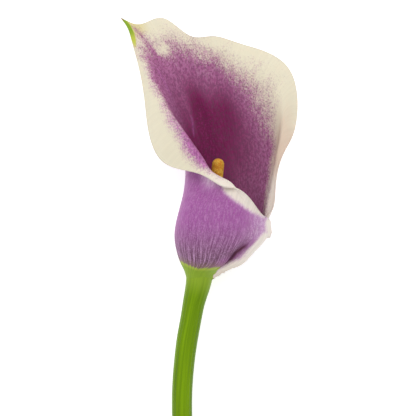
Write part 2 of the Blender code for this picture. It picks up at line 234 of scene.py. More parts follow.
def ramp(value: np.ndarray, start: float, end: float) -> np.ndarray:
    """Smooth step: t = (value - start) / (end - start) held in 0 to 1, then 3 t^2 - 2 t^3.

    Args:
        value: numbers of any shape.
        start: value at which the step leaves 0.
        end: value at which it reaches 1.

    Returns:
        Numbers of the same shape, from 0 to 1.
    """
    t = np.clip((value - start) / (end - start), 0.0, 1.0)
    return t * t * (3.0 - 2.0 * t)


def spline(knots: np.ndarray, points: np.ndarray, where: np.ndarray) -> np.ndarray:
    """Natural cubic spline: a cubic between knots, with equal slope and bend across them.

    The bends M solve h[i-1] M[i-1] + 2 (h[i-1] + h[i]) M[i] + h[i] M[i+1] = 6 (s[i] - s[i-1]),
    where h are the steps between knots and s the slopes over them, and are 0 at both ends.

    Args:
        knots: rising parameter of each point.
        points: points along the first axis, of any shape past it.
        where: parameters to read the curve at.

    Returns:
        The curve's points along the first axis.
    """
    count = len(knots)
    step = np.diff(knots)
    flat = np.asarray(points, float).reshape(count, -1)
    slope = np.diff(flat, axis=0) / step[:, None]
    system = np.eye(count)
    inner = np.arange(1, count - 1)
    system[inner, inner - 1] = step[:-1]
    system[inner, inner] = 2.0 * (step[:-1] + step[1:])
    system[inner, inner + 1] = step[1:]
    right = np.zeros_like(flat)
    right[1:-1] = 6.0 * np.diff(slope, axis=0)
    bend = np.linalg.solve(system, right)
    k = np.clip(np.searchsorted(knots, where, side="right") - 1, 0, count - 2)
    h = step[k][:, None]
    after = np.asarray(where, float)[:, None] - knots[k][:, None]
    before = h - after
    curve = (bend[k] * before**3 + bend[k + 1] * after**3) / (6.0 * h)
    curve += (flat[k] / h - bend[k] * h / 6.0) * before
    curve += (flat[k + 1] / h - bend[k + 1] * h / 6.0) * after
    return curve.reshape((len(where),) + np.shape(points)[1:])


def unit(vectors: np.ndarray) -> np.ndarray:
    """Vectors along the last axis, each divided by its length."""
    return vectors / np.maximum(np.linalg.norm(vectors, axis=-1, keepdims=True), 1e-9)


def bell(value: np.ndarray, width: float) -> np.ndarray:
    """Bell curve exp(-(value / width)^2), 1 where the value is 0."""
    return np.exp(-((value / width) ** 2))


def window(value: np.ndarray, grows: Span, fades: Span) -> np.ndarray:
    """Smooth step from 0 to 1 over grows, times one from 1 to 0 over fades."""
    return ramp(value, *grows) * (1.0 - ramp(value, *fades))


def run_length(points: np.ndarray, axis: int = 0) -> np.ndarray:
    """Distance from the first point along the axis: the sum of the steps up to each point."""
    steps = np.linalg.norm(np.diff(points, axis=axis), axis=-1)
    return np.insert(np.cumsum(steps, axis=axis), 0, 0.0, axis=axis)


def near_line(points: np.ndarray, line: np.ndarray, dense: int = 81) -> tuple[np.ndarray, np.ndarray]:
    """Distance in plan from each point to a line, and the share of the line where it is nearest.

    The line is read at dense even steps, and the nearest of those counts.

    Args:
        points: points along the last axis, of which X and Y count.
        line: X and Y of the line's corners.
        dense: points that the line is read at.

    Returns:
        Distance and share, 0 to 1, of every point.
    """
    corner = np.linspace(0.0, 1.0, len(line))
    share = np.linspace(0.0, 1.0, dense)
    path = np.stack([np.interp(share, corner, axis) for axis in line.T], -1)
    gaps = np.linalg.norm(points[..., None, :2] - path, axis=-1)
    return gaps.min(axis=-1), share[gaps.argmin(axis=-1)]


def sheet_normals(points: np.ndarray) -> np.ndarray:
    """Unit normals of a grid: the cross product of its slopes down the rows and across them."""
    return unit(np.cross(np.gradient(points, axis=0), np.gradient(points, axis=1)))


def circles_round(line: np.ndarray, sides: int) -> tuple[np.ndarray, np.ndarray]:
    """Unit circles square to a line: cos a times its right side plus sin a times its upper one.

    Args:
        line: points of the line.
        sides: points round each circle.

    Returns:
        The angles a, and the circles as an array of points of the line, angles and X, Y, Z.
    """
    tangent = unit(np.gradient(line, axis=0))
    side = unit(np.cross(tangent, (0.0, 0.0, 1.0)))
    up = np.cross(side, tangent)
    turn = 2.0 * math.pi * np.arange(sides) / sides
    return turn, (np.cos(turn)[None, :, None] * side[:, None] + np.sin(turn)[None, :, None] * up[:, None])


def grid_quads(rows: int, columns: int, ring: bool = False, first: int = 0) -> np.ndarray:
    """Quads of a grid of points numbered row by row.

    Args:
        rows: rows of points.
        columns: points in a row.
        ring: whether the last column joins the first.
        first: number of the grid's first point.

    Returns:
        One row of four point numbers for each quad.
    """
    index = first + np.arange(rows * columns).reshape(rows, columns)
    left = index if ring else index[:, :-1]
    right = np.roll(index, -1, axis=1) if ring else index[:, 1:]
    return np.stack([left[:-1], left[1:], right[1:], right[:-1]], -1).reshape(-1, 4)


def closed_rings(rings: np.ndarray, first: np.ndarray, last: np.ndarray) -> tuple[np.ndarray, list]:
    """Closes rings of points with a fan of triangles at each end.

    Args:
        rings: array of rings, points round each, and X, Y, Z.
        first: middle point that closes the first ring.
        last: middle point that closes the last ring.

    Returns:
        The points, with both middles last, and the faces, with both fans last.
    """
    rows, sides = rings.shape[:2]
    count = rows * sides
    start = np.arange(sides)
    after = np.roll(start, -1)
    fans = [np.stack([np.full(sides, count), start, after], -1),
            np.stack([np.full(sides, count + 1), count - sides + after, count - sides + start], -1)]
    points = np.vstack([rings.reshape(-1, 3), first, last])
    return points, grid_quads(rows, sides, ring=True).tolist() + np.concatenate(fans).tolist()


def mesh_object(name: str, points: np.ndarray, faces: list, materials: list,
                fields: dict[str, np.ndarray], slots: np.ndarray | None = None) -> bpy.types.Object:
    """Makes a smooth-shaded object from points in mm.

    Args:
        name: name of the object and its mesh.
        points: one point a row, in mm.
        faces: lists of point numbers.
        materials: materials in the order of their slots.
        fields: one number a point for each attribute that the materials read.
        slots: material slot of each face, or None for the first.

    Returns:
        The object, at the origin, linked to the scene.
    """
    mesh = bpy.data.meshes.new(name)
    mesh.from_pydata((points * MM).tolist(), [], faces)
    for material in materials:
        mesh.materials.append(material)
    if slots is not None:
        mesh.polygons.foreach_set("material_index", slots.astype(np.int32))
    for label, values in fields.items():
        attribute = mesh.attributes.new(label, "FLOAT", "POINT")
        attribute.data.foreach_set("value", np.ascontiguousarray(values, np.float32).ravel())
    mesh.shade_smooth()
    mesh.update()
    made = bpy.data.objects.new(name, mesh)
    bpy.context.scene.collection.objects.link(made)
    return made


def settle(piece: bpy.types.Object, node: str) -> None:
    """Lets a piece ride on the body and stand for its CAD node, which it hides.

    Args:
        piece: the finished object.
        node: CAD node that it replaces.
    """
    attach(piece, BODY)
    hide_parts(node)
    mesh = piece.data
    log.info("%s: %d points, %d faces", piece.name, len(mesh.vertices), len(mesh.polygons))


def add_node(tree: bpy.types.NodeTree, kind: str, inputs: dict | None = None,
             settings: dict | None = None, output: int | str = 0) -> bpy.types.NodeSocket:
    """Adds one node with its settings and links.

    Args:
        tree: node tree that gets it.
        kind: Blender's name of the node without "ShaderNode".
        inputs: for each input, by name or number, a value or the socket to link.
        settings: values of the node's own properties.
        output: name or number of the output to return.

    Returns:
        That output socket, or the node's first input if it has no output.
    """
    node = tree.nodes.new("ShaderNode" + kind)
    for key, value in (settings or {}).items():
        setattr(node, key, value)
    for key, value in (inputs or {}).items():
        if isinstance(value, bpy.types.NodeSocket):
            tree.links.new(value, node.inputs[key])
        else:
            node.inputs[key].default_value = value
    return node.outputs[output] if node.outputs else node.inputs[0]


def blank_material(name: str) -> bpy.types.Material:
    """New material with an empty node tree.

    Args:
        name: name of the material.

    Returns:
        The material.
    """
    material = bpy.data.materials.new(name)
    material.use_nodes = True
    material.node_tree.nodes.clear()
    return material


@dataclass(frozen=True)
class PetalFinish:
    """Living petal tissue: a waxy skin over wet cells, as it grew.

    The skin gives a soft satin gloss, and the wet cells let light in a little way, so shadows
    are warm and edges glow. Pigment lies in single cells, which is why plum meets cream in a
    fine net of dots drawn out along the veins and not in a clean line. A real cell is about
    0.05 mm wide, too fine to show, so patches of cells are drawn at least ten times as wide.

    Attributes:
        name: name of the material.
        cream: colour without pigment.
        light: thin pigment.
        deep: full pigment.
        ragged: how far single veins carry the pigment past its edge, in shares of its softness.
        net: how far patches of cells carry it, in the same shares.
        pale: strength of the pale streaks along the veins.
        lines: strength of the long pale lines near the base.
        mottle: how much the depth of the plum changes from cell to cell.
        ribbed: how dark the cream is over the veins.
        dusk: pigment near the base, where green tissue lies under it.
        crease_shade: painted shade of the crease, a dark plum laid over the pigment there.
        lime: fringe of the green tip.
        tinge: cream that passes into it.
        faint: pigment of the last cells, far out on the face.
        fleck: cells without pigment amid the thin plum.
        fleck_share: how strongly they show.
        lit_violet: painted highlight, a lighter thin plum where the face is turned to the light.
        tan: painted shade, the cream darkened to a greyish tan where the sheet lies in shade.
        white: cream of the parts that grow last.
        keel: green of the tip.
        stalk: green of the base.
        seam: brown where plum runs out into it.
        dry: brown of the dried point.
        roughness: roughness of the skin.
        gloss: its specular level.
        patchy: how far broad patches of the face carry the pigment, in shares of its softness.
        full: what the depth field is multiplied by before single cells change it.
        speckle: how much single cells are darker or lighter, as a share.
        vein_gap: distance between veins across the face, in mm.
        cell: width of a patch of pigmented cells, in mm.
        cell_stretch: how much longer than wide such a patch is.
        grain: how much finer the cells at the plum's edge are.
    """

    name: str
    cream: str
    light: str
    deep: str
    ragged: float
    net: float
    pale: float
    lines: float
    mottle: float
    ribbed: float
    dusk: str = "644059"
    crease_shade: str = "4e1438"
    lime: str = "bcc24e"
    tinge: str = "d6cb92"
    faint: str = "cbb0bb"
    fleck: str = "dccbdc"
    fleck_share: float = 0.08
    lit_violet: str = "b262a8"
    tan: str = "d6c0ae"
    white: str = "e6dcd2"
    keel: str = "86a52c"
    stalk: str = "829e28"
    seam: str = "7d6850"
    dry: str = "94754a"
    roughness: float = 0.5
    gloss: float = 0.18
    patchy: float = 2.5
    full: float = 1.02
    speckle: float = 0.3
    vein_gap: float = 0.8
    cell: float = 0.5
    cell_stretch: float = 1.5
    grain: float = 1.7

    def make(self) -> bpy.types.Material:
        """Builds the material from tables of patterns, sums, smooth steps and layers.

        A sum is start + strength (pattern - 1/2). So the reach of the pigment is blush + ragged
        (streak - 1/2) + net (grain - 1/2) + patchy (patch - 1/2), and its cover is a smooth step
        of that. Each layer then mixes one colour over another by the share that it names, and
        a layer with the share "all" multiplies the colour by a grey.

        Returns:
            The material.
        """
        material = blank_material(self.name)
        tree = material.node_tree
        signal = {
            label: add_node(tree, "Attribute", settings={"attribute_name": label}, output="Fac")
            for label in ("across_mm", "along_mm", "blush", "depth", "dusk", "keel", "base", "fold",
                          "tan", "white", "lit_violet", "dry")
        }
        signal["all"] = 1.0

        # Patterns along the veins: width and length of a patch in mm, and a place in the noise.
        for label, wide, long, shift in (
            ("streak", 2.0 * self.vein_gap, 9.0, 0.0),
            ("fine", self.vein_gap, 4.0 * self.vein_gap, 15.0),
            ("line", self.vein_gap, 20.0, 21.0),
            ("patch", 6.0, 12.0, 31.0),
        ):
            place = add_node(tree, "CombineXYZ", {
                "X": signal["across_mm"], "Y": signal["along_mm"], "Z": shift})
            scaled = add_node(tree, "VectorMath", {0: place, 1: (1.0 / wide, 1.0 / long, 1.0)},
                              {"operation": "MULTIPLY"})
            signal[label] = add_node(tree, "TexNoise", {
                "Vector": scaled, "Scale": 1.0, "Detail": 2.0, "Roughness": 0.6}, output="Fac")

        # Patterns of cells: scale and detail on the object's own coordinates, in cells.
        spot = add_node(tree, "TexCoord", output="Object")
        per_cell = tuple(1.0 / (self.cell * MM * stretch) for stretch in (1.0, self.cell_stretch, 1.0))
        in_cells = add_node(tree, "VectorMath", {0: spot, 1: per_cell}, {"operation": "MULTIPLY"})
        for label, scale, detail in (("cells", 1.0, 3.0), ("grain", self.grain, 2.0)):
            signal[label] = add_node(tree, "TexNoise", {
                "Vector": in_cells, "Scale": scale, "Detail": detail, "Roughness": 0.6}, output="Fac")

        # Sums of a start and a pattern, with its strength, and means of the two finest patterns.
        signal["plum"] = add_node(tree, "Math", {0: signal["depth"], 1: self.full},
                                  {"operation": "MULTIPLY"})
        for label, start, pattern, strength in (
            ("reach", "blush", "streak", self.ragged),
            ("reach", "reach", "grain", self.net),
            ("reach", "reach", "patch", self.patchy),
            ("plum", "plum", "cells", self.mottle),
            ("green_edge", "base", "line", 4.0),
        ):
            centred = add_node(tree, "Math", {0: signal[pattern], 1: 0.5}, {"operation": "SUBTRACT"})
            signal[label] = add_node(tree, "Math", {0: centred, 1: strength, 2: signal[start]},
                                     {"operation": "MULTIPLY_ADD"})
        for label, share in (("dots", 0.5), ("relief", 0.7)):
            rest = add_node(tree, "Math", {0: signal["cells"], 1: 1.0 - share}, {"operation": "MULTIPLY"})
            signal[label] = add_node(tree, "Math", {0: signal["fine"], 1: share, 2: rest},
                                     {"operation": "MULTIPLY_ADD"})

        # Smooth steps: what each reads, over which values, and what it then runs from and to.
        for label, source, low, high, to_low, to_high in (
            ("cover", "reach", -1.9, 1.9, 0.0, 1.0),
            ("last_cells", "reach", -2.6, 0.9, 0.6, 0.0),
            ("pale_dots", "dots", 0.46, 0.60, 0.0, self.pale),
            ("pale_lines", "line", 0.46, 0.64, 0.0, self.lines),
            ("fleck_dots", "dots", 0.47, 0.57, 0.0, self.fleck_share),
            ("thin_plum", "depth", 0.0, 0.9, 1.0, 0.0),
            ("tinged", "keel", 0.0, 0.4, 0.0, 1.0),
            ("fringed", "keel", 0.4, 0.65, 0.0, 1.0),
            ("green_tip", "keel", 0.65, 0.95, 0.0, 1.0),
            ("seamed", "base", -5.0, -0.3, 0.0, 0.55),
            ("green_foot", "base", 0.4, 2.2, 0.6, 1.0),
            ("foot", "green_edge", -0.6, 0.6, 0.0, 1.0),
            ("plum_lines", "line", 0.35, 0.65, 0.93, 1.05),
            ("plum_cells", "cells", 0.35, 0.65, 1.0 - self.speckle, 1.0 + self.speckle),
            ("cream_lines", "line", 0.35, 0.65, self.ribbed, 1.01),
            ("foot_lines", "line", 0.35, 0.65, 0.85, 1.12),
        ):
            signal[label] = add_node(tree, "MapRange", {
                "Value": signal[source], "From Min": low, "From Max": high, "To Min": to_low,
                "To Max": to_high}, {"interpolation_type": "SMOOTHSTEP"})
        signal["flecks"] = add_node(tree, "Math", {0: signal["fleck_dots"], 1: signal["thin_plum"]},
                                    {"operation": "MULTIPLY"})
        signal["pale"] = add_node(tree, "Math", {
            0: signal["pale_lines"], 1: signal["dusk"], 2: signal["pale_dots"]},
            {"operation": "MULTIPLY_ADD"})

        # Layers: the part that each lies on, the share of it that it covers and its colour.
        paint = {"pigment": linear(self.light), "foot": linear(self.lime), "skin": linear(self.cream)}
        for label in ("plum_lines", "plum_cells", "cream_lines", "foot_lines"):
            paint[label] = add_node(tree, "CombineColor",
                                    dict.fromkeys(("Red", "Green", "Blue"), signal[label]))
        for part, share, over in (
            ("pigment", "plum", self.deep),
            ("pigment", "last_cells", self.faint),
            # Painted highlight: lighter thin plum where the face is turned to the light.
            ("pigment", "lit_violet", self.lit_violet),
            ("pigment", "dusk", self.dusk),
            ("pigment", "pale", self.light),
            ("pigment", "flecks", self.fleck),
            ("pigment", "all", "plum_lines"),
            ("pigment", "all", "plum_cells"),
            # Painted shade: dark plum in the crease, where the fold field says.
            ("pigment", "fold", self.crease_shade),
            ("foot", "green_foot", self.stalk),
            ("foot", "all", "foot_lines"),
            # Painted shade: cream turned tan where the sheet lies in shade.
            ("skin", "tan", self.tan),
            ("skin", "white", self.white),
            ("skin", "tinged", self.tinge),
            ("skin", "all", "cream_lines"),
            ("skin", "cover", "pigment"),
            ("skin", "fringed", self.lime),
            ("skin", "green_tip", self.keel),
            ("skin", "seamed", self.seam),
            ("skin", "foot", "foot"),
            ("skin", "dry", self.dry),
        ):
            colour = paint[over] if over in paint else linear(over)
            kind = "MULTIPLY" if share == "all" else "MIX"
            paint[part] = add_node(tree, "Mix", {FACTOR: signal[share], FIRST: paint[part], SECOND: colour},
                                   {**RGB_MIX, "blend_type": kind}, MIXED)

        bump = add_node(tree, "Bump", {"Strength": 0.4, "Distance": 0.1 * MM, "Height": signal["relief"]})
        shader = add_node(tree, "BsdfPrincipled", {
            "Base Color": paint["skin"], "Roughness": self.roughness, "Specular IOR Level": self.gloss,
            "Normal": bump, "Subsurface Weight": 0.25, "Subsurface Radius": (1.0, 0.8, 0.7),
            "Subsurface Scale": 0.5 * MM,
        })
        add_node(tree, "OutputMaterial", {"Surface": shader})
        return material


@dataclass(frozen=True)
class Wash:
    """One part of a face that a tint covers.

    Attributes:
        strength: its cover where all its steps are full.
        steps: name of a measure, the value where its smooth step starts and where it is full.
    """

    strength: float
    steps: tuple[tuple[str, float, float], ...]

    def cover(self, measures: dict[str, np.ndarray]) -> np.ndarray:
        """Cover of the wash on the grid: its strength times the product of its smooth steps."""
        steps = (ramp(measures[name], start, full) for name, start, full in self.steps)
        return self.strength * math.prod(steps)


def washed(washes: tuple[Wash, ...], measures: dict[str, np.ndarray]) -> np.ndarray:
    """Strongest cover of several washes at each point of the grid, and 0 where there is none."""
    return np.maximum.reduce([np.zeros_like(measures["rim"]), *(wash.cover(measures) for wash in washes)])


@dataclass(frozen=True)
class FaceLook:
    """What one face of the bract shows beside the blush of its veins.

    Attributes:
        finish: its material.
        thinned: washes that take depth from the plum.
        tan: washes of the finish's painted tan shade.
        dusk: washes of its dusk.
        lit_violet: washes of its painted highlight.
    """

    finish: PetalFinish
    thinned: tuple[Wash, ...]
    tan: tuple[Wash, ...]
    dusk: tuple[Wash, ...] = ()
    lit_violet: tuple[Wash, ...] = ()


INNER_LOOK = FaceLook(
    PetalFinish("waxy_petal_inner_face", cream="e1dac3", light="a05c8a", deep="6c0048", ragged=1.7,
                net=5.5, pale=0.1, lines=0.0, mottle=1.5, ribbed=0.975, cell=0.9, gloss=0.1),
    thinned=(Wash(0.4, (("x", 0.0, 18.0),)), Wash(0.3, (("y", 22.0, 0.0),))),
    # Painted shade: tan on the right strip of the inner face, wider low down.
    tan=(Wash(1.0, (("vein", 19.5, 22.0), ("y", 56.0, 18.0), ("low_rim", -4.0, 8.0))),),
    # Painted highlight: the lit crest of the left fold, and lines of it along lit ridges.
    lit_violet=(
        Wash(0.65, (("row", 0.76, 0.8), ("vein", 4.0, 6.5), ("vein", 12.5, 10.0), ("depth", 0.6, 0.0))),
        Wash(0.35, (("streak", 0.7, 0.1),)),
    ),
)
OUTER_LOOK = FaceLook(
    PetalFinish("waxy_petal_outer_face", cream="e6ddd2", light="c69ac4", deep="9a5097", ragged=2.0,
                net=4.0, pale=0.28, lines=0.6, mottle=1.6, ribbed=0.9, speckle=0.11, fleck_share=0.6),
    thinned=(Wash(0.5, (("margin", 14.0, 3.0), ("y", -24.0, -16.0))),),
    # Painted shade: tan on the right strip and at the foot of the outer margin.
    tan=(Wash(1.0, (("vein", 19.5, 22.0), ("y", 34.0, 20.0))),
         Wash(0.4, (("margin", 4.5, 3.0), ("y", -28.0, -34.0)))),
    dusk=(Wash(1.0, (("y", -10.0, -34.0), ("margin", 3.5, 7.5))),),
)


@dataclass(frozen=True)
class Trace:
    """Line on the bract, seen in plan.

    Attributes:
        corners: X and Y of each of its corners.
        half: half width there, in mm.
        strength: strength of its tint there.
    """

    corners: tuple[Span, ...]
    half: tuple[float, ...]
    strength: tuple[float, ...]

    def read(self, points: np.ndarray) -> tuple[np.ndarray, ...]:
        """Reads the line at each point, with half width and strength straight between corners.

        Args:
            points: points along the last axis.

        Returns:
            Distance in mm, distance in half widths, share of the line and strength there.
        """
        gap, share = near_line(points, np.array(self.corners))
        corner = np.linspace(0.0, 1.0, len(self.corners))
        half, strength = (np.interp(share, corner, values) for values in (self.half, self.strength))
        return gap, gap / half, share, strength


@dataclass(frozen=True)
class Sheet:
    """Middle surface of the bract as a grid of rows from the stem to the rim.

    Attributes:
        points: X, Y and Z of each point.
        along_mm: distance of each point from the stem, along its column.
        side_mm: distance of each point from the outer margin, along its row.
        shares: share of each row, 0 at the stem and 1 at the rim.
        places: place of each column, 0 at the outer margin and 1 at the inner one.
    """

    points: np.ndarray
    along_mm: np.ndarray
    side_mm: np.ndarray
    shares: np.ndarray
    places: np.ndarray


@dataclass
class Bract:
    """The one bract: a sheet that wraps into a tube, opens to a limb and rolls at its rim.

    Lengths are in mm, angles in degrees, and rows in shares of a vein from stem to rim.

    Attributes:
        sheet: thickness of the sheet.
        rim_sheet: its thickness at the rim.
        rim_taper: distance from the rim over which it thins.
        base_sheet: its thickness at the stem.
        base_taper: distance from the stem over which it thins.
        rest_height: height of the middle surface where it lies on its flat spot.
        rows: points along a vein in the tube, the limb and the roll.
        columns: points across the veins up to the tip, over the zone each side of it, and on.
        tip_zone: width of that zone in places.
        rim_steps: points round the edge of the sheet, between its faces.
        unrolled: width of the sheet when laid flat, for patterns.
        belly_share: row of the belly, where the tube is widest.
        crest_share: row of the crest, where the roll starts.
        limb_crowding: power that draws the limb's rows towards the crest.
        roll_crowding: power that draws the roll's rows towards it.
        chord_power: how much a long chord of a vein counts beside a short one.
        easing: length over which the stiff sheet evens out its bends.
        easing_passes: passes in which that is worked out.
        vein_samples: points that a vein is read at.
        front_rise: share of the way to the crest that the neck climbs at the front.
        front_sines: sines of the angle between which it climbs.
        margin_rise: angles between which the inner margin climbs too.
        inset_angles: angles between which the inner layer takes up the inset of a hoop.
        neck_inset: angles and insets of the inner layer at the neck.
        tail_moves: how far the outer margin is moved at the two lowest hoops, in X and Y.
        tail_width: angle over which that fades.
        crease: depth, angle and width of the crease beside the overlap.
        puff: height, angle and width of the swelling beside the crease.
        fold_grows: rows over which both grow.
        fold_fades: rows over which both fade.
        step_move: how far the outer margin steps at its front corner, in X and Y.
        step_width: angle over which that fades.
        step_grows: rows over which it grows.
        step_fades: rows over which it fades.
        wall_inset: depth, height above the surface and width of the shallow inset of the right wall.
        wall_grows: veins over which the inset grows.
        wall_fades: veins over which it fades.
        wall_share: Y and the share of the inset there.
        margin_span: columns over which the way out across the margin is read.
        fray: height of the uneven margin.
        fray_width: distance from the margin over which it fades.
        fray_waves: lengths of its waves.
        fray_rows: rows over which it grows towards the stem.
        draw_in: how far the margin is drawn in under its front corner.
        draw_width: distance from the margin over which that fades.
        draw_grows: rows over which it grows.
        draw_fades: rows over which it fades.
        cusp_pull: how far the tip is drawn out.
        cusp_widths: places before and after the tip over which that fades.
        cusp_grows: rows over which it grows.
        blush_easing: how far the tints of a vein reach into the next, in veins.
        tint_steps: steps between two veins at which the tints are read.
        margin_reach: distance from the outer margin past which it has no effect.
        margin_cream: Y and the width of the cream beside the outer margin there.
        margin_soft: distance over which that cream gives way to plum.
        flap: Y and the width of the green tail of the outer margin there.
        lip_line: X and Y of the line on the front above which the outer face is cream.
        lip_soft: distance over which that cream gives way to plum.
        lip_veins: veins between which the line gives way to the blush.
        lip_deepens: distances below the line over which the plum darkens, in shares of lip_soft.
        wall_line: Y and X of the line on the right wall beyond which the inner face is cream.
        wall_soft: distance over which plum gives way to it.
        wall_from: first vein that the line counts for.
        wall_rows: Y over which it takes the place of the blush.
        low_y: Y under which the inner strip of painted tan shade grows wider.
        bald: X, Y, size and loss of blush of a spot of the inner face with little plum.
        streaks: lines on the inner face that carry a painted highlight of thin plum, as lit ridges show.
        base_line: X and Y of the line where the green of the foot ends.
        base_soft: distance over which it ends.
        keel: green line of the tip.
        keel_green: where it shows.
        keel_tinge: where the cream beside it turns greenish.
        furrow: line of the crease, along which shade is painted.
        furrow_shade: where that painted shade shows.
        flap_green: where the tail of the margin is green, in shares of base_soft.
        dry_point: where the dried point is brown.
        white: washes of the finish's white, on both faces.
        inner: look of the inner face.
        outer: look of the outer face.
    """

    sheet: float = 0.94
    rim_sheet: float = 0.5
    rim_taper: float = 6.0
    base_sheet: float = 0.3
    base_taper: float = 4.0
    rest_height: float = 0.5
    rows: tuple[int, int, int] = (34, 66, 36)
    columns: tuple[int, int, int, int] = (132, 20, 22, 145)
    tip_zone: float = 0.035
    rim_steps: int = 4
    unrolled: float = 190.0

    belly_share: float = 0.32
    crest_share: float = 0.78
    limb_crowding: float = 1.35
    roll_crowding: float = 1.25
    chord_power: float = 0.8
    easing: float = 1.3
    easing_passes: int = 90
    vein_samples: int = 161

    front_rise: float = 0.45
    front_sines: Span = (-0.2, 0.7)
    margin_rise: Span = (345.0, 395.0)
    inset_angles: Span = (300.0, 360.0)
    neck_inset: Track = ((300.0, 360.0, 375.0, 400.0), (0.0, 0.8, 1.4, 2.6))
    tail_moves: tuple[Span, ...] = ((1.6, 1.1), (3.6, 0.0))
    tail_width: float = 14.0

    crease: tuple[float, float, float] = (3.0, 56.0, 7.0)
    puff: tuple[float, float, float] = (0.8, 26.0, 12.0)
    fold_grows: Span = (0.07, 0.15)
    fold_fades: Span = (0.17, 0.33)
    step_move: Span = (0.9, -1.3)
    step_width: float = 6.0
    step_grows: Span = (0.303, 0.32)
    step_fades: Span = (0.65, 0.95)
    wall_inset: tuple[float, float, float] = (1.4, 15.2, 3.0)
    wall_grows: Span = (21.5, 23.5)
    wall_fades: Span = (25.5, 27.0)
    wall_share: Track = ((-14.0, -8.0, -2.0, 7.0, 19.0, 30.0), (0.0, 0.9, 1.0, 0.8, 0.6, 0.0))
    margin_span: int = 4
    fray: float = 0.35
    fray_width: float = 2.5
    fray_waves: Span = (3.1, 1.7)
    fray_rows: Span = (0.40, 0.28)
    draw_in: float = 1.3
    draw_width: float = 4.0
    draw_grows: Span = (0.04, 0.14)
    draw_fades: Span = (0.295, 0.31)
    cusp_pull: Point = (-6.3, 4.9, -1.0)
    cusp_widths: Span = (0.012, 0.006)
    cusp_grows: Span = (0.6, 1.0)

    blush_easing: float = 0.45
    tint_steps: int = 12
    margin_reach: float = 26.0
    margin_cream: Track = ((-40.0, -34.0, -30.0, -26.0, -18.0), (3.6, 2.7, 2.6, 3.0, 2.8))
    margin_soft: float = 0.65
    flap: Track = ((-40.5, -37.0, -34.0), (0.9, 2.2, 2.9))
    lip_line: Track = (
        (-3.5, -0.2, 2.6, 4.5, 7.4, 10.7, 14.0, 17.0, 19.0),
        (5.0, 2.2, 0.1, -1.6, -3.5, -5.9, -7.8, -9.2, -10.6),
    )
    lip_soft: float = 0.8
    lip_veins: Span = (5.6, 4.6)
    lip_deepens: Span = (-1.5, 3.5)
    wall_line: Track = (
        (-14.0, -7.3, -2.5, 2.3, 7.1, 11.9, 19.1, 24.0, 34.0),
        (20.6, 21.2, 21.7, 22.4, 22.9, 24.0, 24.9, 25.9, 27.6),
    )
    wall_soft: float = 1.0
    wall_from: float = 20.0
    wall_rows: Span = (30.0, 18.0)
    low_y: float = 34.0
    bald: tuple[float, float, float, float] = (-28.8, 70.0, 3.2, 2.0)
    # Lines of painted highlight along lit ridges of the inner face.
    streaks: tuple[tuple[Span, ...], ...] = (
        ((-31.4, 60.1), (-28.1, 54.2), (-25.3, 48.3)),
        ((-14.9, 37.5), (-14.4, 33.6), (-14.1, 29.3)),
    )
    base_line: Track = ((-19.0, -15.0, -11.6, -3.0), (-31.8, -33.6, -34.8, -34.2))
    base_soft: float = 0.8

    keel: Trace = Trace(
        ((-49.2, 85.7), (-47.2, 83.7), (-45.2, 80.8), (-43.7, 78.0), (-42.7, 74.9), (-41.9, 71.7)),
        (0.9, 1.4, 1.6, 1.5, 1.2, 0.7), (1.0, 1.0, 1.0, 0.84, 0.66, 0.5))
    keel_green: Wash = Wash(1.0, (("keel_width", 1.15, 0.6), ("rim", 25.0, 18.0)))
    keel_tinge: Wash = Wash(0.4, (("keel_gap", 13.0, 1.0), ("keel_share", 1.0, 0.5), ("rim", 25.0, 18.0)))
    # Line of the crease, with painted shade along it: a dark core and a softer band beside it.
    furrow: Trace = Trace(
        ((12.2, -22.9), (10.2, -24.5), (6.7, -27.2), (4.1, -30.8), (0.8, -34.0)),
        (0.6, 1.2, 1.5, 1.3, 0.7), (0.4, 1.0, 1.0, 1.0, 0.4))
    furrow_shade: tuple[Wash, ...] = (
        Wash(1.0, (("furrow_width", 1.0, 0.2),)), Wash(0.45, (("furrow_gap", 3.4, 1.0),)))
    flap_green: Wash = Wash(8.0, (("past_flap", 0.3, -0.3),))
    dry_point: Wash = Wash(1.0, (("point", 2.0, 0.9),))
    white: tuple[Wash, ...] = (
        Wash(1.0, (("margin", 6.0, 3.0), ("y", -36.0, -30.0))),
        Wash(0.8, (("vein", 19.5, 22.0), ("y", 17.0, 3.0))),
        Wash(0.8, (("vein", 6.6, 5.2), ("rim", 30.0, 16.0))),
    )
    inner: FaceLook = INNER_LOOK
    outer: FaceLook = OUTER_LOOK

    def net(self) -> np.ndarray:
        """Points where veins cross the hoops, the neck, the middle, the crest and the rim.

        On a hoop a vein at angle a is at x = centre + wide cos a and z = centre + deep sin a,
        less the inset where it runs inside the outer layer, and a past a full turn is scaled
        by the tuck. The neck hoop slopes up to the front, and the middle is half way from it
        to the crest, moved by the vein's lean.

        Returns:
            Array of levels, veins and X, Y, Z.
        """
        angle = np.array([vein.angle for vein in VEINS], float)
        crest = np.array([vein.crest for vein in VEINS])
        rim = np.array([vein.rim for vein in VEINS])
        lean = np.array([(vein.lean[0], 0.0, vein.lean[1]) for vein in VEINS])
        inside = ramp(angle, *self.inset_angles)
        over = np.maximum(angle - FULL_TURN, 0.0)
        levels = []
        for hoop in HOOPS:
            turn = np.radians(np.minimum(angle, FULL_TURN) + over * hoop.tuck)
            x = hoop.x + (hoop.wide - inside * hoop.inset) * np.cos(turn)
            z = hoop.z + (hoop.deep - inside * hoop.inset) * np.sin(turn)
            levels.append(np.stack([x, np.full_like(x, hoop.y), z], -1))
        tail = np.exp(-(angle - angle[0]) / self.tail_width)
        for level, move in zip(levels, self.tail_moves):
            level[:, :2] += tail[:, None] * np.array(move)

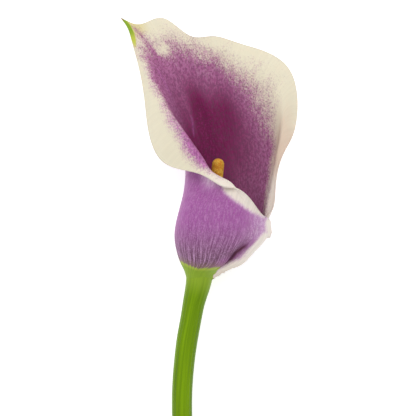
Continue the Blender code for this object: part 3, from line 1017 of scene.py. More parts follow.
        belly = HOOPS[-1]
        rising = ramp(np.sin(np.radians(angle)), *self.front_sines)
        rising = np.where(over > 0.0, ramp(angle, *self.margin_rise), rising)
        rising = np.where(angle < FRONT, 1.0, rising)
        front_y = belly.y + self.front_rise * (crest[:, 1] - belly.y)
        y = NECK_HOOP.y + rising * (front_y - NECK_HOOP.y)
        share = (y - belly.y) / (NECK_HOOP.y - belly.y)
        tuck = belly.tuck + (NECK_HOOP.tuck - belly.tuck) * share
        turn = np.radians(np.minimum(angle, FULL_TURN) + over * tuck)
        inset = np.interp(angle, *self.neck_inset)
        wide = belly.wide + (NECK_HOOP.wide - belly.wide) * share - inset
        x = belly.x + (NECK_HOOP.x - belly.x) * share + wide * np.cos(turn)
        neck = np.stack([x, y, NECK_HOOP.z + (NECK_HOOP.deep - inset) * np.sin(turn)], -1)
        middle = 0.5 * (neck + crest) + lean
        return np.array([*levels, neck, middle, crest, rim])

    def bent_vein(self, line: np.ndarray, shares: np.ndarray) -> np.ndarray:
        """One vein through its net points, with its bends eased as a stiff sheet eases them.

        The line is splined over its chords, read at even steps and diffused, which evens out
        bends shorter than the easing. Belly and crest fall on their shares of the rows.

        Args:
            line: the vein's net points.
            shares: rows to read it at, 0 at the stem and 1 at the rim.

        Returns:
            One point for each row.
        """
        chord = np.linalg.norm(np.diff(line, axis=0), axis=1) ** self.chord_power
        knots = np.concatenate([[0.0], np.cumsum(chord)]) / chord.sum()
        share = np.linspace(0.0, 1.0, self.vein_samples)
        curve = spline(knots, line, share)
        length = run_length(curve)
        even = share * length[-1]
        curve = np.stack([np.interp(even, length, axis) for axis in curve.T], -1)
        rate = self.easing**2 / (2.0 * even[1] ** 2 * self.easing_passes)
        for _ in range(self.easing_passes):
            curve[1:-1] += rate * (curve[:-2] - 2.0 * curve[1:-1] + curve[2:])
        marks = np.interp((0.0, knots[len(HOOPS) - 1], knots[-2], 1.0), share, length)
        at = np.interp(shares, (0.0, self.belly_share, self.crest_share, 1.0), marks)
        return spline(even, curve, at)

    def grid_shares(self) -> tuple[np.ndarray, np.ndarray]:
        """Shares of the rows and places of the columns.

        Rows are even in the tube, then go from belly to crest as 1 - (1 - t)^limb_crowding and
        on to the rim as t^roll_crowding. Columns are even between the stops round the tip.

        Returns:
            Shares and places, each from 0 to 1.
        """
        tube, limb, roll = self.rows
        up_limb = 1.0 - np.linspace(1.0, 0.0, limb, endpoint=False) ** self.limb_crowding
        up_roll = np.linspace(0.0, 1.0, roll + 1) ** self.roll_crowding
        shares = np.concatenate([
            np.linspace(0.0, self.belly_share, tube, endpoint=False),
            self.belly_share + (self.crest_share - self.belly_share) * up_limb,
            self.crest_share + (1.0 - self.crest_share) * up_roll,
        ])
        stops = (0.0, TIP - self.tip_zone, TIP, TIP + self.tip_zone, 1.0)
        parts = [np.linspace(first, last, count, endpoint=False)
                 for first, last, count in zip(stops[:-1], stops[1:], self.columns)]
        return shares, np.concatenate([*parts, np.ones(1)])

    def middle_surface(self) -> Sheet:
        """Middle surface of the sheet: veins splined across, then folded, stepped and pulled.

        The fold moves it along its normal by puff - crease, each a bell in the angle times a
        window in the row. The corner of the outer margin is moved by step_move, and the right
        wall inwards by a bell in its height. Then the margin moves outwards, in the plane of
        the sheet, by its fray, a sum of sines of the distance along it, and inwards by draw_in,
        each fading with the distance from it. The cusp moves the tip by pull exp(-|place - tip|
        / width), and at last nothing lies under the rest height.

        Returns:
            The middle surface.
        """
        shares, places = self.grid_shares()
        at_vein = np.linspace(0.0, 1.0, len(VEINS))
        veins = [self.bent_vein(line, shares) for line in np.moveaxis(self.net(), 1, 0)]
        surface = np.moveaxis(spline(at_vein, np.array(veins), places), 0, 1)
        angle = np.interp(places, at_vein, [vein.angle for vein in VEINS])

        folds = [size * bell(angle - middle, width) for size, middle, width in (self.puff, self.crease)]
        low = np.outer(window(shares, self.fold_grows, self.fold_fades), folds[0] - folds[1])
        surface += sheet_normals(surface) * low[..., None]
        corner = np.outer(window(shares, self.step_grows, self.step_fades),
                          np.exp(-(angle - angle[0]) / self.step_width))
        surface[..., :2] += corner[..., None] * np.array(self.step_move)
        deep, height, width = self.wall_inset
        inset = deep * bell(surface[..., 2] - height, width) * np.interp(surface[..., 1], *self.wall_share)
        surface[..., 0] -= window(places * LAST_VEIN, self.wall_grows, self.wall_fades) * inset

        side_mm = run_length(surface, axis=1)
        outwards = unit(surface[:, :1] - surface[:, self.margin_span:self.margin_span + 1])
        down = run_length(surface[:, 0])
        waves = sum(np.sin(2.0 * math.pi * down / wave + wave) for wave in self.fray_waves)
        waves = self.fray * waves * ramp(shares, *self.fray_rows)
        drawn = self.draw_in * window(shares, self.draw_grows, self.draw_fades)
        moved = waves[:, None] * np.exp(-side_mm / self.fray_width)
        moved -= drawn[:, None] * np.exp(-side_mm / self.draw_width)
        surface += outwards * moved[..., None]

        cusp = np.exp(-np.abs(places - TIP) / np.where(places < TIP, *self.cusp_widths))
        pull = np.outer(ramp(shares, *self.cusp_grows) ** 2, cusp)
        surface += pull[..., None] * np.array(self.cusp_pull)
        surface[..., 2] = np.maximum(surface[..., 2], self.rest_height)
        return Sheet(surface, run_length(surface), side_mm, shares, places)

    def eased_tints(self, face: Face, places: np.ndarray) -> np.ndarray:
        """Numbers of the veins' Blush at each column, with the corners at the veins rounded.

        They are read along straight lines between veins at even fine steps, and each becomes
        the mean of its neighbours weighted by exp(-(distance / easing)^2).

        Args:
            face: inner or outer face.
            places: place of each column.

        Returns:
            Rows of start, soft, depth, near and far.
        """
        tints = [vein.inner if face is Face.INNER else vein.outer for vein in VEINS]
        values = np.array([(tint.start, tint.soft, tint.depth, tint.near, tint.far) for tint in tints]).T
        fine = np.linspace(0.0, LAST_VEIN, self.tint_steps * LAST_VEIN + 1)
        read = np.array([np.interp(fine, np.arange(len(VEINS)), row) for row in values])
        weight = bell(fine[:, None] - fine[None], self.blush_easing)
        read = read @ (weight / weight.sum(axis=0))
        return np.array([np.interp(places * LAST_VEIN, fine, row) for row in read])

    def measures(self, sheet: Sheet) -> dict[str, np.ndarray]:
        """Measures on the grid that the washes read, in mm unless said otherwise.

        x and y are the place in plan, vein the place among the veins, row the share of the row
        and rim the distance from the rim. low_rim is that plus how far y is under low_y, and places
        the painted tan shade. margin is the distance in plan from the outer margin, and past_flap
        that less the width of its green tail. streak is the distance from the nearest line of
        painted highlight and point that from the tip's point. A trace gives its gap, its width
        (gap in half widths), share and strength.

        Args:
            sheet: middle surface.

        Returns:
            Values on the grid by name.
        """
        points = sheet.points
        x, y = points[..., 0], points[..., 1]
        rim = sheet.along_mm[-1] - sheet.along_mm
        to_margin = near_line(points, points[:, 0, :2], 161)[0]
        margin = np.where(sheet.side_mm < self.margin_reach, to_margin, self.margin_reach)
        found = {
            "x": x, "y": y, "rim": rim, "margin": margin,
            "vein": np.broadcast_to(sheet.places * LAST_VEIN, rim.shape),
            "row": np.broadcast_to(sheet.shares[:, None], rim.shape),
            "low_rim": rim + np.maximum(0.0, self.low_y - y),
            "past_flap": margin - np.interp(y, *self.flap),
            "streak": np.minimum.reduce([near_line(points, np.array(line))[0] for line in self.streaks]),
            "point": np.linalg.norm(points[..., :2] - np.array(self.keel.corners[0]), axis=-1),
        }
        for name, trace in (("keel", self.keel), ("furrow", self.furrow)):
            for label, values in zip(("gap", "width", "share", "strength"), trace.read(points)):
                found[f"{name}_{label}"] = values
        return found

    def pigment(self, face: Face, sheet: Sheet) -> dict[str, np.ndarray]:
        """Fields that the petal finish reads on one face.

        blush = (rim distance - start) / soft of the veins. On the outer face it gives way to
        the distance below the lip line on the front, and is no more than the distance from the
        margin's cream. On the inner face it gives way to the distance inside the wall line, and
        the bald spot takes its loss from it. It is held in -4 to 4. depth = the vein's depth
        times a smooth step of the rim distance from near to far, or of the lip's distance, less
        the face's thinned washes. keel is its line's strength times its wash, or the tinge.
        base is the height under the base line in shares of its softness, less the green tail.
        fold, the painted shade of the crease, is the furrow's strength times its wash. The others
        are washes alone.

        Args:
            face: inner or outer face.
            sheet: middle surface.

        Returns:
            Values on the grid by name of the field.
        """
        seen = self.measures(sheet)
        x, y, rim = seen["x"], seen["y"], seen["rim"]
        start, soft, depth, near, far = self.eased_tints(face, sheet.places)
        veined = (rim - start) / soft
        dark = depth * ramp((rim - near) / (far - near), 0.0, 1.0)
        if face is Face.OUTER:
            look = self.outer
            line = (np.interp(x, *self.lip_line) - y) / self.lip_soft
            share = ramp(seen["vein"], *self.lip_veins)
            dark = share * depth * ramp(line, *self.lip_deepens) + (1.0 - share) * dark
            blush = share * np.clip(line, -BLUSH_HELD, BLUSH_HELD) + (1.0 - share) * veined
            inside = (seen["margin"] - np.interp(y, *self.margin_cream)) / self.margin_soft
            blush = np.minimum(blush, inside)
            # Painted shade along the crease.
            fold = washed(self.furrow_shade, seen) * seen["furrow_strength"]
            fold = fold * (sheet.side_mm < self.margin_reach)
        else:
            look = self.inner
            line = (np.interp(y, *self.wall_line) - x) / self.wall_soft
            share = ramp(y, *self.wall_rows) * (seen["vein"] > self.wall_from)
            blush = share * np.clip(line, -BLUSH_HELD, BLUSH_HELD) + (1.0 - share) * veined
            bald_x, bald_y, size, loss = self.bald
            blush = blush - loss * bell(np.hypot(x - bald_x, y - bald_y), size)
            fold = np.zeros_like(blush)
        for wash in look.thinned:
            dark = dark * (1.0 - wash.cover(seen))
        seen["depth"] = dark
        green = seen["keel_strength"] * self.keel_green.cover(seen)
        under = (np.interp(x, *self.base_line) - y) / self.base_soft
        return {
            "blush": np.clip(blush, -BLUSH_HELD, BLUSH_HELD),
            "depth": dark,
            "keel": np.maximum(green, self.keel_tinge.cover(seen)),
            "base": np.clip(under, -BLUSH_HELD, BLUSH_HELD) - self.flap_green.cover(seen),
            "fold": fold,
            "dusk": washed(look.dusk, seen),
            "tan": washed(look.tan, seen),
            "white": washed(self.white, seen),
            "lit_violet": washed(look.lit_violet, seen),
            "dry": self.dry_point.cover(seen),
        }

    def build(self) -> bpy.types.Object:
        """Builds the sheet: two faces half a thickness off the middle surface, and a round edge.

        The thickness grows from rim_sheet to sheet over rim_taper from the rim, and from
        base_sheet over base_taper from the stem. The edge is a half circle across the sheet,
        carried round all four sides of the grid.

        Returns:
            The bract.
        """
        sheet = self.middle_surface()
        surface, along = sheet.points, sheet.along_mm
        across = np.broadcast_to(sheet.places * self.unrolled, along.shape)
        to_rim = ramp(along[-1] - along, 0.0, self.rim_taper)
        thick = self.rim_sheet + (self.sheet - self.rim_sheet) * to_rim
        half = 0.5 * (self.base_sheet + (thick - self.base_sheet) * ramp(along, 0.0, self.base_taper))
        outward = sheet_normals(surface)

        rows, columns = along.shape
        count = rows * columns
        grid = np.arange(count).reshape(rows, columns)
        loop = np.concatenate([grid[0, :-1], grid[:-1, -1], grid[-1, :0:-1], grid[:0:-1, 0]])
        inward = np.concatenate([grid[1, :-1], grid[:-1, -2], grid[-2, :0:-1], grid[:0:-1, 1]])
        flat = surface.reshape(-1, 3)
        out = unit(flat[loop] - flat[inward])
        normal = outward.reshape(-1, 3)[loop]
        out = unit(out - np.sum(out * normal, -1, keepdims=True) * normal)
        reach = half.ravel()[loop][:, None]
        turns = np.linspace(0.5 * math.pi, -0.5 * math.pi, self.rim_steps + 2)[1:-1]
        edge = [flat[loop] + reach * (math.sin(t) * normal + math.cos(t) * out) for t in turns]
        faces_of = [(surface + face.value * half[..., None] * outward).reshape(-1, 3) for face in Face]
        points = np.concatenate([*faces_of, *edge])

        quads = [grid_quads(rows, columns)[:, ::-1], count + grid_quads(rows, columns)]
        rings = [count + loop] + [2 * count + i * len(loop) + np.arange(len(loop))
                                  for i in range(self.rim_steps)] + [loop]
        quads += [np.stack([a, np.roll(a, -1), np.roll(b, -1), b], -1)[:, ::-1]
                  for a, b in zip(rings[:-1], rings[1:])]
        slots = np.repeat([0, 1], [len(quads[0]), sum(map(len, quads[1:]))])

        inner, outer = (self.pigment(face, sheet) for face in Face)
        inner.update(across_mm=across, along_mm=along)
        outer.update(across_mm=across, along_mm=along)
        fields = {
            label: np.concatenate([inner[label].ravel(), outer[label].ravel()]
                                  + [outer[label].ravel()[loop]] * self.rim_steps)
            for label in inner
        }
        materials = [self.inner.finish.make(), self.outer.finish.make()]
        return mesh_object("bract", points, np.concatenate(quads).tolist(), materials, fields, slots)

    def dress(self) -> None:
        """Builds the bract and puts it in the place of its CAD node."""
        settle(self.build(), "spathe")


@dataclass(frozen=True)
class StemFinish:
    """Green flower stalk: a smooth cuticle over ribs of tough fibre, as it grew.

    The cuticle gives a satin gloss in long lines, and the fibre under it shows as fine paler
    and darker streaks that run the whole length. Real strands are about 0.2 mm wide, too fine
    to show, so they are drawn wider.

    Attributes:
        name: name of the material.
        light: green over the ribs.
        dark: green between them.
        neck: paler green where the bract sits on the stalk.
        gloss: specular level of the cuticle.
        roughness: its roughness.
        strands: width and length in mm of the ribs, of broad bands and of fine strands.
    """

    name: str = "smooth_stalk_cuticle"
    light: str = "769a00"
    dark: str = "547400"
    neck: str = "829e28"
    gloss: float = 0.12
    roughness: float = 0.38
    strands: tuple[Span, ...] = ((0.9, 40.0), (2.5, 90.0), (0.5, 6.0))

    def make(self) -> bpy.types.Material:
        """Builds the material: streaks of dark in light, turned to the neck colour at the top.

        The streaks are the sum of the ribs' noise and the bands' noise.

        Returns:
            The material.
        """
        material = blank_material(self.name)
        tree = material.node_tree
        across, along, neck = (
            add_node(tree, "Attribute", settings={"attribute_name": label}, output="Fac")
            for label in ("across_mm", "along_mm", "neck")
        )
        # Each pattern is read at a place of its own in the noise.
        noises = []
        for (wide, long), shift in zip(self.strands, (0.0, 9.0, 17.0)):
            place = add_node(tree, "CombineXYZ", {"X": across, "Y": along, "Z": shift})
            scaled = add_node(tree, "VectorMath", {0: place, 1: (1.0 / wide, 1.0 / long, 1.0)},
                              {"operation": "MULTIPLY"})
            noises.append(add_node(tree, "TexNoise", {"Vector": scaled, "Scale": 1.0, "Detail": 2.0},
                                   output="Fac"))
        ribs, bands, strands = noises
        both = add_node(tree, "Math", {0: ribs, 1: bands}, {"operation": "ADD"})
        streak, tone = (
            add_node(tree, "MapRange", {"Value": both, "From Min": 0.7, "From Max": 1.3,
                                        "To Min": low, "To Max": high})
            for low, high in ((0.0, 1.0), (0.85, 1.12))
        )
        colour = add_node(tree, "Mix", {
            FACTOR: streak, FIRST: linear(self.dark), SECOND: linear(self.light)}, RGB_MIX, MIXED)
        grey = add_node(tree, "CombineColor", {"Red": tone, "Green": tone, "Blue": tone})
        pale = add_node(tree, "Mix", {FACTOR: 1.0, FIRST: linear(self.neck), SECOND: grey},
                        {**RGB_MIX, "blend_type": "MULTIPLY"}, MIXED)
        colour = add_node(tree, "Mix", {FACTOR: neck, FIRST: colour, SECOND: pale}, RGB_MIX, MIXED)
        height = add_node(tree, "Math", {0: ribs, 1: strands}, {"operation": "ADD"})
        bump = add_node(tree, "Bump", {"Strength": 0.4, "Distance": 0.15 * MM, "Height": height})
        shader = add_node(tree, "BsdfPrincipled", {
            "Base Color": colour, "Roughness": self.roughness, "Specular IOR Level": self.gloss,
            "Normal": bump, "Subsurface Weight": 0.08, "Subsurface Radius": (0.5, 1.0, 0.2),
            "Subsurface Scale": 1.0 * MM,
        })
        add_node(tree, "OutputMaterial", {"Surface": shader})
        return material


@dataclass(frozen=True)
class CutFinish:
    """Cut face of the stalk: wet spongy pith with fibre ends, sliced with a knife.

    The wet slice is pale and slightly glossy, with the ends of the fibre bundles as small
    green dots and a darker skin round it.

    Attributes:
        name: name of the material.
        pith: colour of the pith.
        fibre: colour of the fibre ends.
        skin: colour of the skin round the slice.
        bundle: distance between fibre ends, in mm.
    """

    name: str = "sliced_wet_pith"
    pith: str = "cfd8a4"
    fibre: str = "8fa55c"
    skin: str = "5f8020"
    bundle: float = 0.9

    def make(self) -> bpy.types.Material:
        """Builds the material: cells of a Voronoi pattern whose middles are fibre ends.

        Returns:
            The material.
        """
        material = blank_material(self.name)
        tree = material.node_tree
        place = add_node(tree, "TexCoord", output="Object")
        rim = add_node(tree, "Attribute", settings={"attribute_name": "rim"}, output="Fac")
        cell = add_node(tree, "TexVoronoi", {"Vector": place, "Scale": 1.0 / (self.bundle * MM)},
                        output="Distance")
        dot = add_node(tree, "MapRange", {"Value": cell, "From Min": 0.18, "From Max": 0.38,
                                          "To Min": 1.0, "To Max": 0.0})
        colour = linear(self.pith)
        for share, over in ((dot, self.fibre), (rim, self.skin)):
            colour = add_node(tree, "Mix", {FACTOR: share, FIRST: colour, SECOND: linear(over)},
                              RGB_MIX, MIXED)
        bump = add_node(tree, "Bump", {"Strength": 0.5, "Distance": 0.1 * MM, "Height": dot})
        shader = add_node(tree, "BsdfPrincipled", {
            "Base Color": colour, "Roughness": 0.3, "IOR": 1.38, "Normal": bump,
        })
        add_node(tree, "OutputMaterial", {"Surface": shader})
        return material


@dataclass
class Stem:
    """The cut flower stalk: a ribbed tube with a shoulder and a neck that the bract grows on.

    Attributes:
        line: points of its middle line and its radius at each.
        sides: points round it.
        steps: rings along it.
        ribs: ribs round it.
        rib_height: how far a rib stands out.
        rib_start: distances from the top between which the ribs rise.
        drift: how far the ribs wander along the stalk, in radians, and over what length.
        uneven: how unevenly they stand round it, in radians, and where that starts.
        neck_rings: Y and radius of each ring of the neck and the shoulder, from the top.
        cut_shrink: radius of each ring of the cut face, in shares of the stalk's.
        cut_lift: how much less deep the second ring is, which rounds the lip.
        cut_dish: depth of the dish that the cut face makes.
        cut_skin: shares of the radius between which the skin's colour starts.
        neck_fade: distances from the top between which the neck's colour fades.
        finish: look of the stalk.
        cut: look of its cut face.
    """

    line: tuple[tuple[float, float, float, float], ...] = (
        (-10.75, -37.9, 16.0, 6.55),
        (-11.5, -42.8, 15.6, 6.1),
        (-13.3, -50.5, 14.6, 5.4),
        (-15.1, -60.1, 13.2, 5.1),
        (-16.7, -68.9, 11.8, 5.1),
        (-17.9, -77.6, 10.3, 5.0),
        (-18.9, -87.8, 8.5, 4.95),
        (-19.4, -99.0, 6.8, 4.9),
        (-19.2, -112.0, 5.3, 4.9),
        (-18.5, -126.0, 4.8, 4.9),
        (-17.0, -150.0, 4.8, 4.9),
        (-15.0, -175.0, 4.8, 4.9),
        (-10.7, -215.8, 4.8, 4.9),
    )
    sides: int = 120
    steps: int = 280
    ribs: int = 19
    rib_height: float = 0.07
    rib_start: Span = (1.0, 14.0)
    drift: Span = (0.6, 31.0)
    uneven: Span = (1.3, 0.7)
    neck_rings: tuple[Span, ...] = (
        (-32.2, 3.5), (-32.8, 4.1), (-36.7, 4.1), (-37.4, 4.6), (-37.5, 5.55), (-37.7, 5.95))
    cut_shrink: tuple[float, ...] = (0.975, 0.94, 0.86, 0.7, 0.5, 0.3, 0.12)
    cut_lift: float = 0.02
    cut_dish: float = 0.25
    cut_skin: Span = (0.82, 0.96)
    neck_fade: Span = (12.0, 1.0)
    finish: StemFinish = StemFinish()
    cut: CutFinish = CutFinish()

    def build(self) -> bpy.types.Object:
        """Builds the stalk as rings round its middle line.

        A ring's radius is r - rib_height + rib_height cos(ribs a + wander), where the wander
        is a sine along the stalk plus one round it. Rings at the top make the shoulder and the
        neck, and rings of shrinking radius s close the cut end in a dish of 1 - s^2.

        Returns:
            The stalk.
        """
        line = np.array(self.line)
        length = run_length(line[:, :3])
        place = np.linspace(0.0, length[-1], self.steps)
        body = spline(length, line, place)
        turn, circle = circles_round(body[:, :3], self.sides)
        wander = self.drift[0] * np.sin(place / self.drift[1])[:, None]
        wander = wander + self.uneven[0] * np.sin(2.0 * turn + self.uneven[1])[None, :]
        rib = self.rib_height * np.cos(self.ribs * turn[None, :] + wander)
        rib *= ramp(place, *self.rib_start)[:, None]
        rings = body[:, None, :3] + (body[:, 3, None] - self.rib_height + rib)[..., None] * circle

        x, _, z, _ = line[0]
        neck = np.array([np.array([x, y, z]) + radius * circle[0] for y, radius in self.neck_rings])
        shrink = np.array(self.cut_shrink)
        dish = self.cut_dish * (1.0 - shrink**2)
        dish[0] = 0.0
        dish[1] -= self.cut_lift
        end = body[-1, :3]
        along = unit(end - body[-2, :3])
        cut = end + shrink[:, None, None] * (rings[-1] - end) - dish[:, None, None] * along

        points, faces = closed_rings(np.concatenate([neck, rings, cut]), neck[0].mean(0), cut[-1].mean(0))
        slots = np.zeros(len(faces), int)
        slots[-(len(cut) + 1) * self.sides:-2 * self.sides] = 1
        slots[-self.sides:] = 1

        down = np.concatenate([np.full(len(neck), -2.0), place, np.full(len(cut), place[-1])])
        near_rim = np.concatenate([np.zeros(len(neck) + len(rings)), ramp(shrink, *self.cut_skin)])
        fields = {
            "along_mm": np.repeat(down, self.sides),
            "across_mm": np.tile(turn * line[-1, 3], len(down)),
            "rim": np.repeat(near_rim, self.sides),
            "neck": np.repeat(ramp(down, *self.neck_fade), self.sides),
        }
        fields = {label: np.append(values, (0.0, 0.0)) for label, values in fields.items()}
        return mesh_object("stalk", points, faces, [self.finish.make(), self.cut.make()], fields, slots)

    def dress(self) -> None:
        """Builds the stalk and puts it in the place of its CAD node."""
        settle(self.build(), "stem")


@dataclass(frozen=True)
class FloretFinish:
    """Packed florets of a spadix: matt grains over a waxy finger, as they grew.

    The grains scatter light, so they are matt. The colour is painted darker in the gaps between
    florets, as shade, and brighter on top. Real grains are far too fine to show, so the speckle
    is drawn 0.5 mm wide.

    Attributes:
        name: name of the material.
        top: colour on top of the florets.
        ripe: their colour in the patches that are riper.
        gap: colour between them, painted darker there as shade.
        roughness: roughness of the grains.
        speckle: width of the speckle, in mm.
        patch: width of the riper patches, in mm.
    """

    name: str
    top: str
    ripe: str
    gap: str
    roughness: float
    speckle: float = 0.5
    patch: float = 1.3

    def make(self) -> bpy.types.Material:
        """Builds the material: painted gap shade to top colour by height, with a fine speckle.

        The top colour changes to the ripe one in patches a few florets wide.

        Returns:
            The material.
        """
        material = blank_material(self.name)
        tree = material.node_tree
        height = add_node(tree, "Attribute", settings={"attribute_name": "height"}, output="Fac")
        place = add_node(tree, "TexCoord", output="Object")
        grain, patch = (
            add_node(tree, "TexNoise", {"Vector": place, "Scale": 1.0 / (wide * MM), "Detail": detail},
                     output="Fac")
            for wide, detail in ((self.speckle, 3.0), (self.patch, 2.0))
        )
        ripe = add_node(tree, "MapRange", {"Value": patch, "From Min": 0.42, "From Max": 0.6,
                                           "To Min": 0.0, "To Max": 1.0})
        top = add_node(tree, "Mix", {FACTOR: ripe, FIRST: linear(self.top), SECOND: linear(self.ripe)},
                       RGB_MIX, MIXED)
        # Painted shade: low points between the florets take the darker gap colour.
        colour = add_node(tree, "Mix", {FACTOR: height, FIRST: linear(self.gap), SECOND: top},
                          RGB_MIX, MIXED)
        tone = add_node(tree, "MapRange", {"Value": grain, "From Min": 0.3, "From Max": 0.7,
                                           "To Min": 0.82, "To Max": 1.1})
        grey = add_node(tree, "CombineColor", {"Red": tone, "Green": tone, "Blue": tone})
        colour = add_node(tree, "Mix", {FACTOR: 1.0, FIRST: colour, SECOND: grey},
                          {**RGB_MIX, "blend_type": "MULTIPLY"}, MIXED)
        bump = add_node(tree, "Bump", {"Strength": 0.6, "Distance": 0.08 * MM, "Height": grain})
        shader = add_node(tree, "BsdfPrincipled", {
            "Base Color": colour, "Roughness": self.roughness, "IOR": 1.45, "Normal": bump,
            "Subsurface Weight": 0.1, "Subsurface Radius": (1.0, 0.6, 0.2),
            "Subsurface Scale": 0.5 * MM,
        })
        add_node(tree, "OutputMaterial", {"Surface": shader})
        return material


# The third colour of each is the painted shade between its florets.
OVARY_FINISH = FloretFinish("waxy_ovary_florets", "c3cc8c", "b4c07c", "8c9a52", 0.45)
POLLEN_FINISH = FloretFinish("dusty_pollen_florets", "f8cc50", "dc9a28", "aa6608", 0.8)


@dataclass
class FloretZone:
    """One zone of the spadix, from first to last mm of its middle line.

    Attributes:
        name: name of the piece.
        node: CAD node that it stands for.
        slot: the record's material slot; not used.
        first: where it starts on the middle line.
        last: where it ends.
        radius: outer radius over the florets.
        relief: height of a floret.
        pitch: distance between florets.
        blunt: whether the start is flat and not narrowed.
        finish: look of its florets.
        seed: seed of the florets' heights.
        row_gap: distance between rows of florets, in pitches.
        dome: how fast a floret falls off from its middle, in cells.
        varied: share of a floret's height that changes from one to the next.
        narrowed: share of the radius that a start that isn't blunt has.
        across_floret: points across a floret.
        along_floret: points along one.
    """

    name: str
    node: str
    slot: str
    first: float
    last: float
    radius: float
    relief: float
    pitch: float
    blunt: bool
    finish: FloretFinish
    seed: int
    row_gap: float = 0.86
    dome: float = 1.9
    varied: float = 0.25
    narrowed: float = 0.7
    across_floret: int = 7
    along_floret: int = 6

    def build(self, line: np.ndarray) -> bpy.types.Object:
        """Builds the zone as rings with a staggered lattice of domes.

        With u florets round and v rows along, a dome is sqrt(1 - (dome d)^2), where d is the
        distance from the middle of its cell in cells, and odd rows shift by half a cell. Each
        floret's height has a small seeded change. The far end is rounded as a quarter circle.

        Args:
            line: middle line of the spadix.

        Returns:
            The zone.
        """
        draw = np.random.default_rng(self.seed)
        around = int(round(2.0 * math.pi * self.radius / self.pitch))
        lines = int(round((self.last - self.first) / (self.row_gap * self.pitch)))
        columns, steps = around * self.across_floret, lines * self.along_floret
        share = np.linspace(0.0, 1.0, steps)
        place = self.first + (self.last - self.first) * share
        to_end = np.clip((self.last - place) / self.radius, 0.0, 1.0)
        size = self.radius * np.sqrt(np.maximum(1.0 - (1.0 - to_end) ** 2, 1e-4))
        if not self.blunt:
            to_start = np.clip((place - self.first) / self.radius, 0.0, 1.0)
            opening = self.narrowed + (1.0 - self.narrowed) * np.sqrt(1.0 - (1.0 - to_start) ** 2)
            size = np.minimum(size, self.radius * opening)
        middle = spline(run_length(line), line, place)
        _, circle = circles_round(middle, columns)

        v = share[:, None] * lines
        row = np.clip(np.floor(v).astype(int), 0, lines - 1)
        u = np.arange(columns)[None, :] * around / columns + 0.5 * (row % 2)
        cell = np.floor(u).astype(int) % around
        d = np.hypot(u - np.floor(u) - 0.5, v - row - 0.5)
        varied = 1.0 - self.varied + self.varied * draw.random((lines, around))
        height = np.sqrt(np.maximum(0.0, 1.0 - (self.dome * d) ** 2)) * varied[row, cell]
        full = np.minimum(1.0, size / self.radius)[:, None]
        out = size[:, None] - self.relief * full * (1.0 - height)
        rings = middle[:, None] + out[..., None] * circle
        points, faces = closed_rings(rings, middle[0], middle[-1])
        fields = {"height": np.append(height.ravel(), [0.0, 0.5])}
        return mesh_object(self.name, points, faces, [self.finish.make()], fields)

    def dress(self, line: np.ndarray) -> None:
        """Builds the zone on the middle line and puts it in the place of its CAD node."""
        settle(self.build(line), self.node)


@dataclass
class Spadix:
    """The finger of florets: green ovaries below, golden pollen florets above.

    Attributes:
        line: points of its middle line.
        ovary_share: share of its length that the ovaries take.
        zone_gap: gap between the zones.
    """

    line: tuple[Point, ...] = (
        (-10.3, -31.3, 16.0),
        (-9.8, -27.5, 15.8),
        (-7.8, -20.7, 15.5),
        (-4.9, -5.4, 16.0),
        (-2.7, 8.0, 17.0),
        (-1.7, 17.4, 17.8),
    )
    ovary_share: float = 0.33
    zone_gap: float = 0.3

    def dress(self) -> None:
        """Builds both zones on the middle line."""
        line = np.array(self.line)
        length = run_length(line)[-1]
        border = self.ovary_share * length
        FloretZone("ovary_florets", "spadix_ovary_zone", "ovary_florets", first=0.0, last=border,
                   radius=3.7, relief=0.35, pitch=1.5, blunt=True, finish=OVARY_FINISH, seed=3).dress(line)
        FloretZone("pollen_florets", "spadix_pollen_zone", "pollen_florets", first=border + self.zone_gap,
                   last=length, radius=3.0, relief=0.2, pitch=0.72, blunt=False, finish=POLLEN_FINISH,
                   seed=5).dress(line)


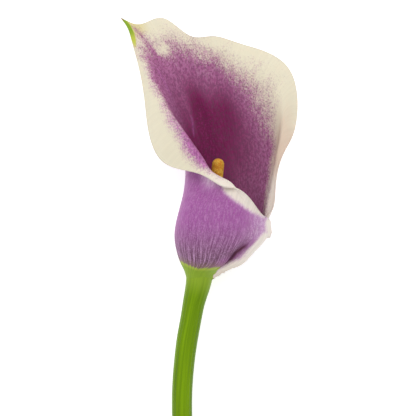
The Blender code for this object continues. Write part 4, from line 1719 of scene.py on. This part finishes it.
@dataclass
class Studio:
    """Pale floor, soft light and the camera, which looks straight down on the lying flower.

    Attributes:
        mm_per_pixel: size of one pixel of the 416-pixel image at the height of the focus.
        focus: point that the image centres on, at mid height of the flower.
        distance: from the camera to the focus.
        film: width of the camera's film.
        floor_size: side of the floor.
        floor_colour: colour of the floor.
        floor_glow: light that the floor gives off, which washes out shadows.
        floor_drop: how far it lies under the flower.
        key_place: where the lamp hangs.
        key_size: length of its side.
        key_power: its power, in watts.
        room_glow: strength of the room's even light.
    """

    mm_per_pixel: float = 0.48
    focus: Point = (-6.8208, -6.3336, 15.0)
    distance: float = 1000.0
    film: float = 36.0
    floor_size: float = 9000.0
    floor_colour: str = "dadada"
    floor_glow: float = 0.6
    floor_drop: float = 0.15
    key_place: Point = (-150.0, 650.0, 1250.0)
    key_size: float = 900.0
    key_power: float = 7.0
    room_glow: float = 0.84

    def camera(self) -> None:
        """Camera above the focus: lens = film x distance / (pixels x mm_per_pixel)."""
        data = bpy.data.cameras.new("camera")
        data.sensor_width = self.film
        data.lens = data.sensor_width * self.distance / (IMAGE_PIXELS * self.mm_per_pixel)
        data.clip_start, data.clip_end = 0.01, 50.0
        made = bpy.data.objects.new("camera", data)
        x, y, z = self.focus
        made.location = (x * MM, y * MM, (z + self.distance) * MM)
        bpy.context.scene.collection.objects.link(made)
        bpy.context.scene.camera = made

    def floor(self) -> None:
        """Flat pale floor just under the flower."""
        half = 0.5 * self.floor_size
        corners = np.array([(-half, -half), (half, -half), (half, half), (-half, half)])
        points = np.column_stack([corners, np.full(4, -self.floor_drop)])
        material = blank_material("matt_white_paper")
        shader = add_node(material.node_tree, "BsdfPrincipled", {
            "Base Color": linear(self.floor_colour), "Roughness": 0.9, "Specular IOR Level": 0.1,
            "Emission Color": WHITE, "Emission Strength": self.floor_glow,
        })
        add_node(material.node_tree, "OutputMaterial", {"Surface": shader})
        mesh_object("floor", points, [[0, 1, 2, 3]], [material], {})

    def lamp(self) -> None:
        """Square area light at its place, turned to the focus by its two angles from it."""
        data = bpy.data.lights.new("key_light", "AREA")
        data.size = self.key_size * MM
        data.energy = self.key_power
        made = bpy.data.objects.new("key_light", data)
        made.location = tuple(value * MM for value in self.key_place)
        x, y, z = np.array(self.key_place) - np.array(self.focus)
        made.rotation_euler = (math.atan2(math.hypot(x, y), z), 0.0, math.atan2(y, x) + 0.5 * math.pi)
        bpy.context.scene.collection.objects.link(made)

    def dress(self) -> None:
        """Makes the camera, the floor, the lamp and the even light of the room."""
        self.camera()
        self.floor()
        self.lamp()
        world = bpy.data.worlds.new("white_room")
        world.use_nodes = True
        world.node_tree.nodes.clear()
        glow = add_node(world.node_tree, "Background", {"Color": WHITE, "Strength": self.room_glow})
        add_node(world.node_tree, "OutputWorld", {"Surface": glow})
        bpy.context.scene.world = world
        bpy.context.scene.view_settings.view_transform = "Standard"


def main() -> None:
    """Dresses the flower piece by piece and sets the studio."""
    logging.basicConfig(level=logging.INFO, format="%(name)s: %(message)s")
    Studio().dress()
    Bract().dress()
    Spadix().dress()
    Stem().dress()


if __name__ == "__main__":
    main()
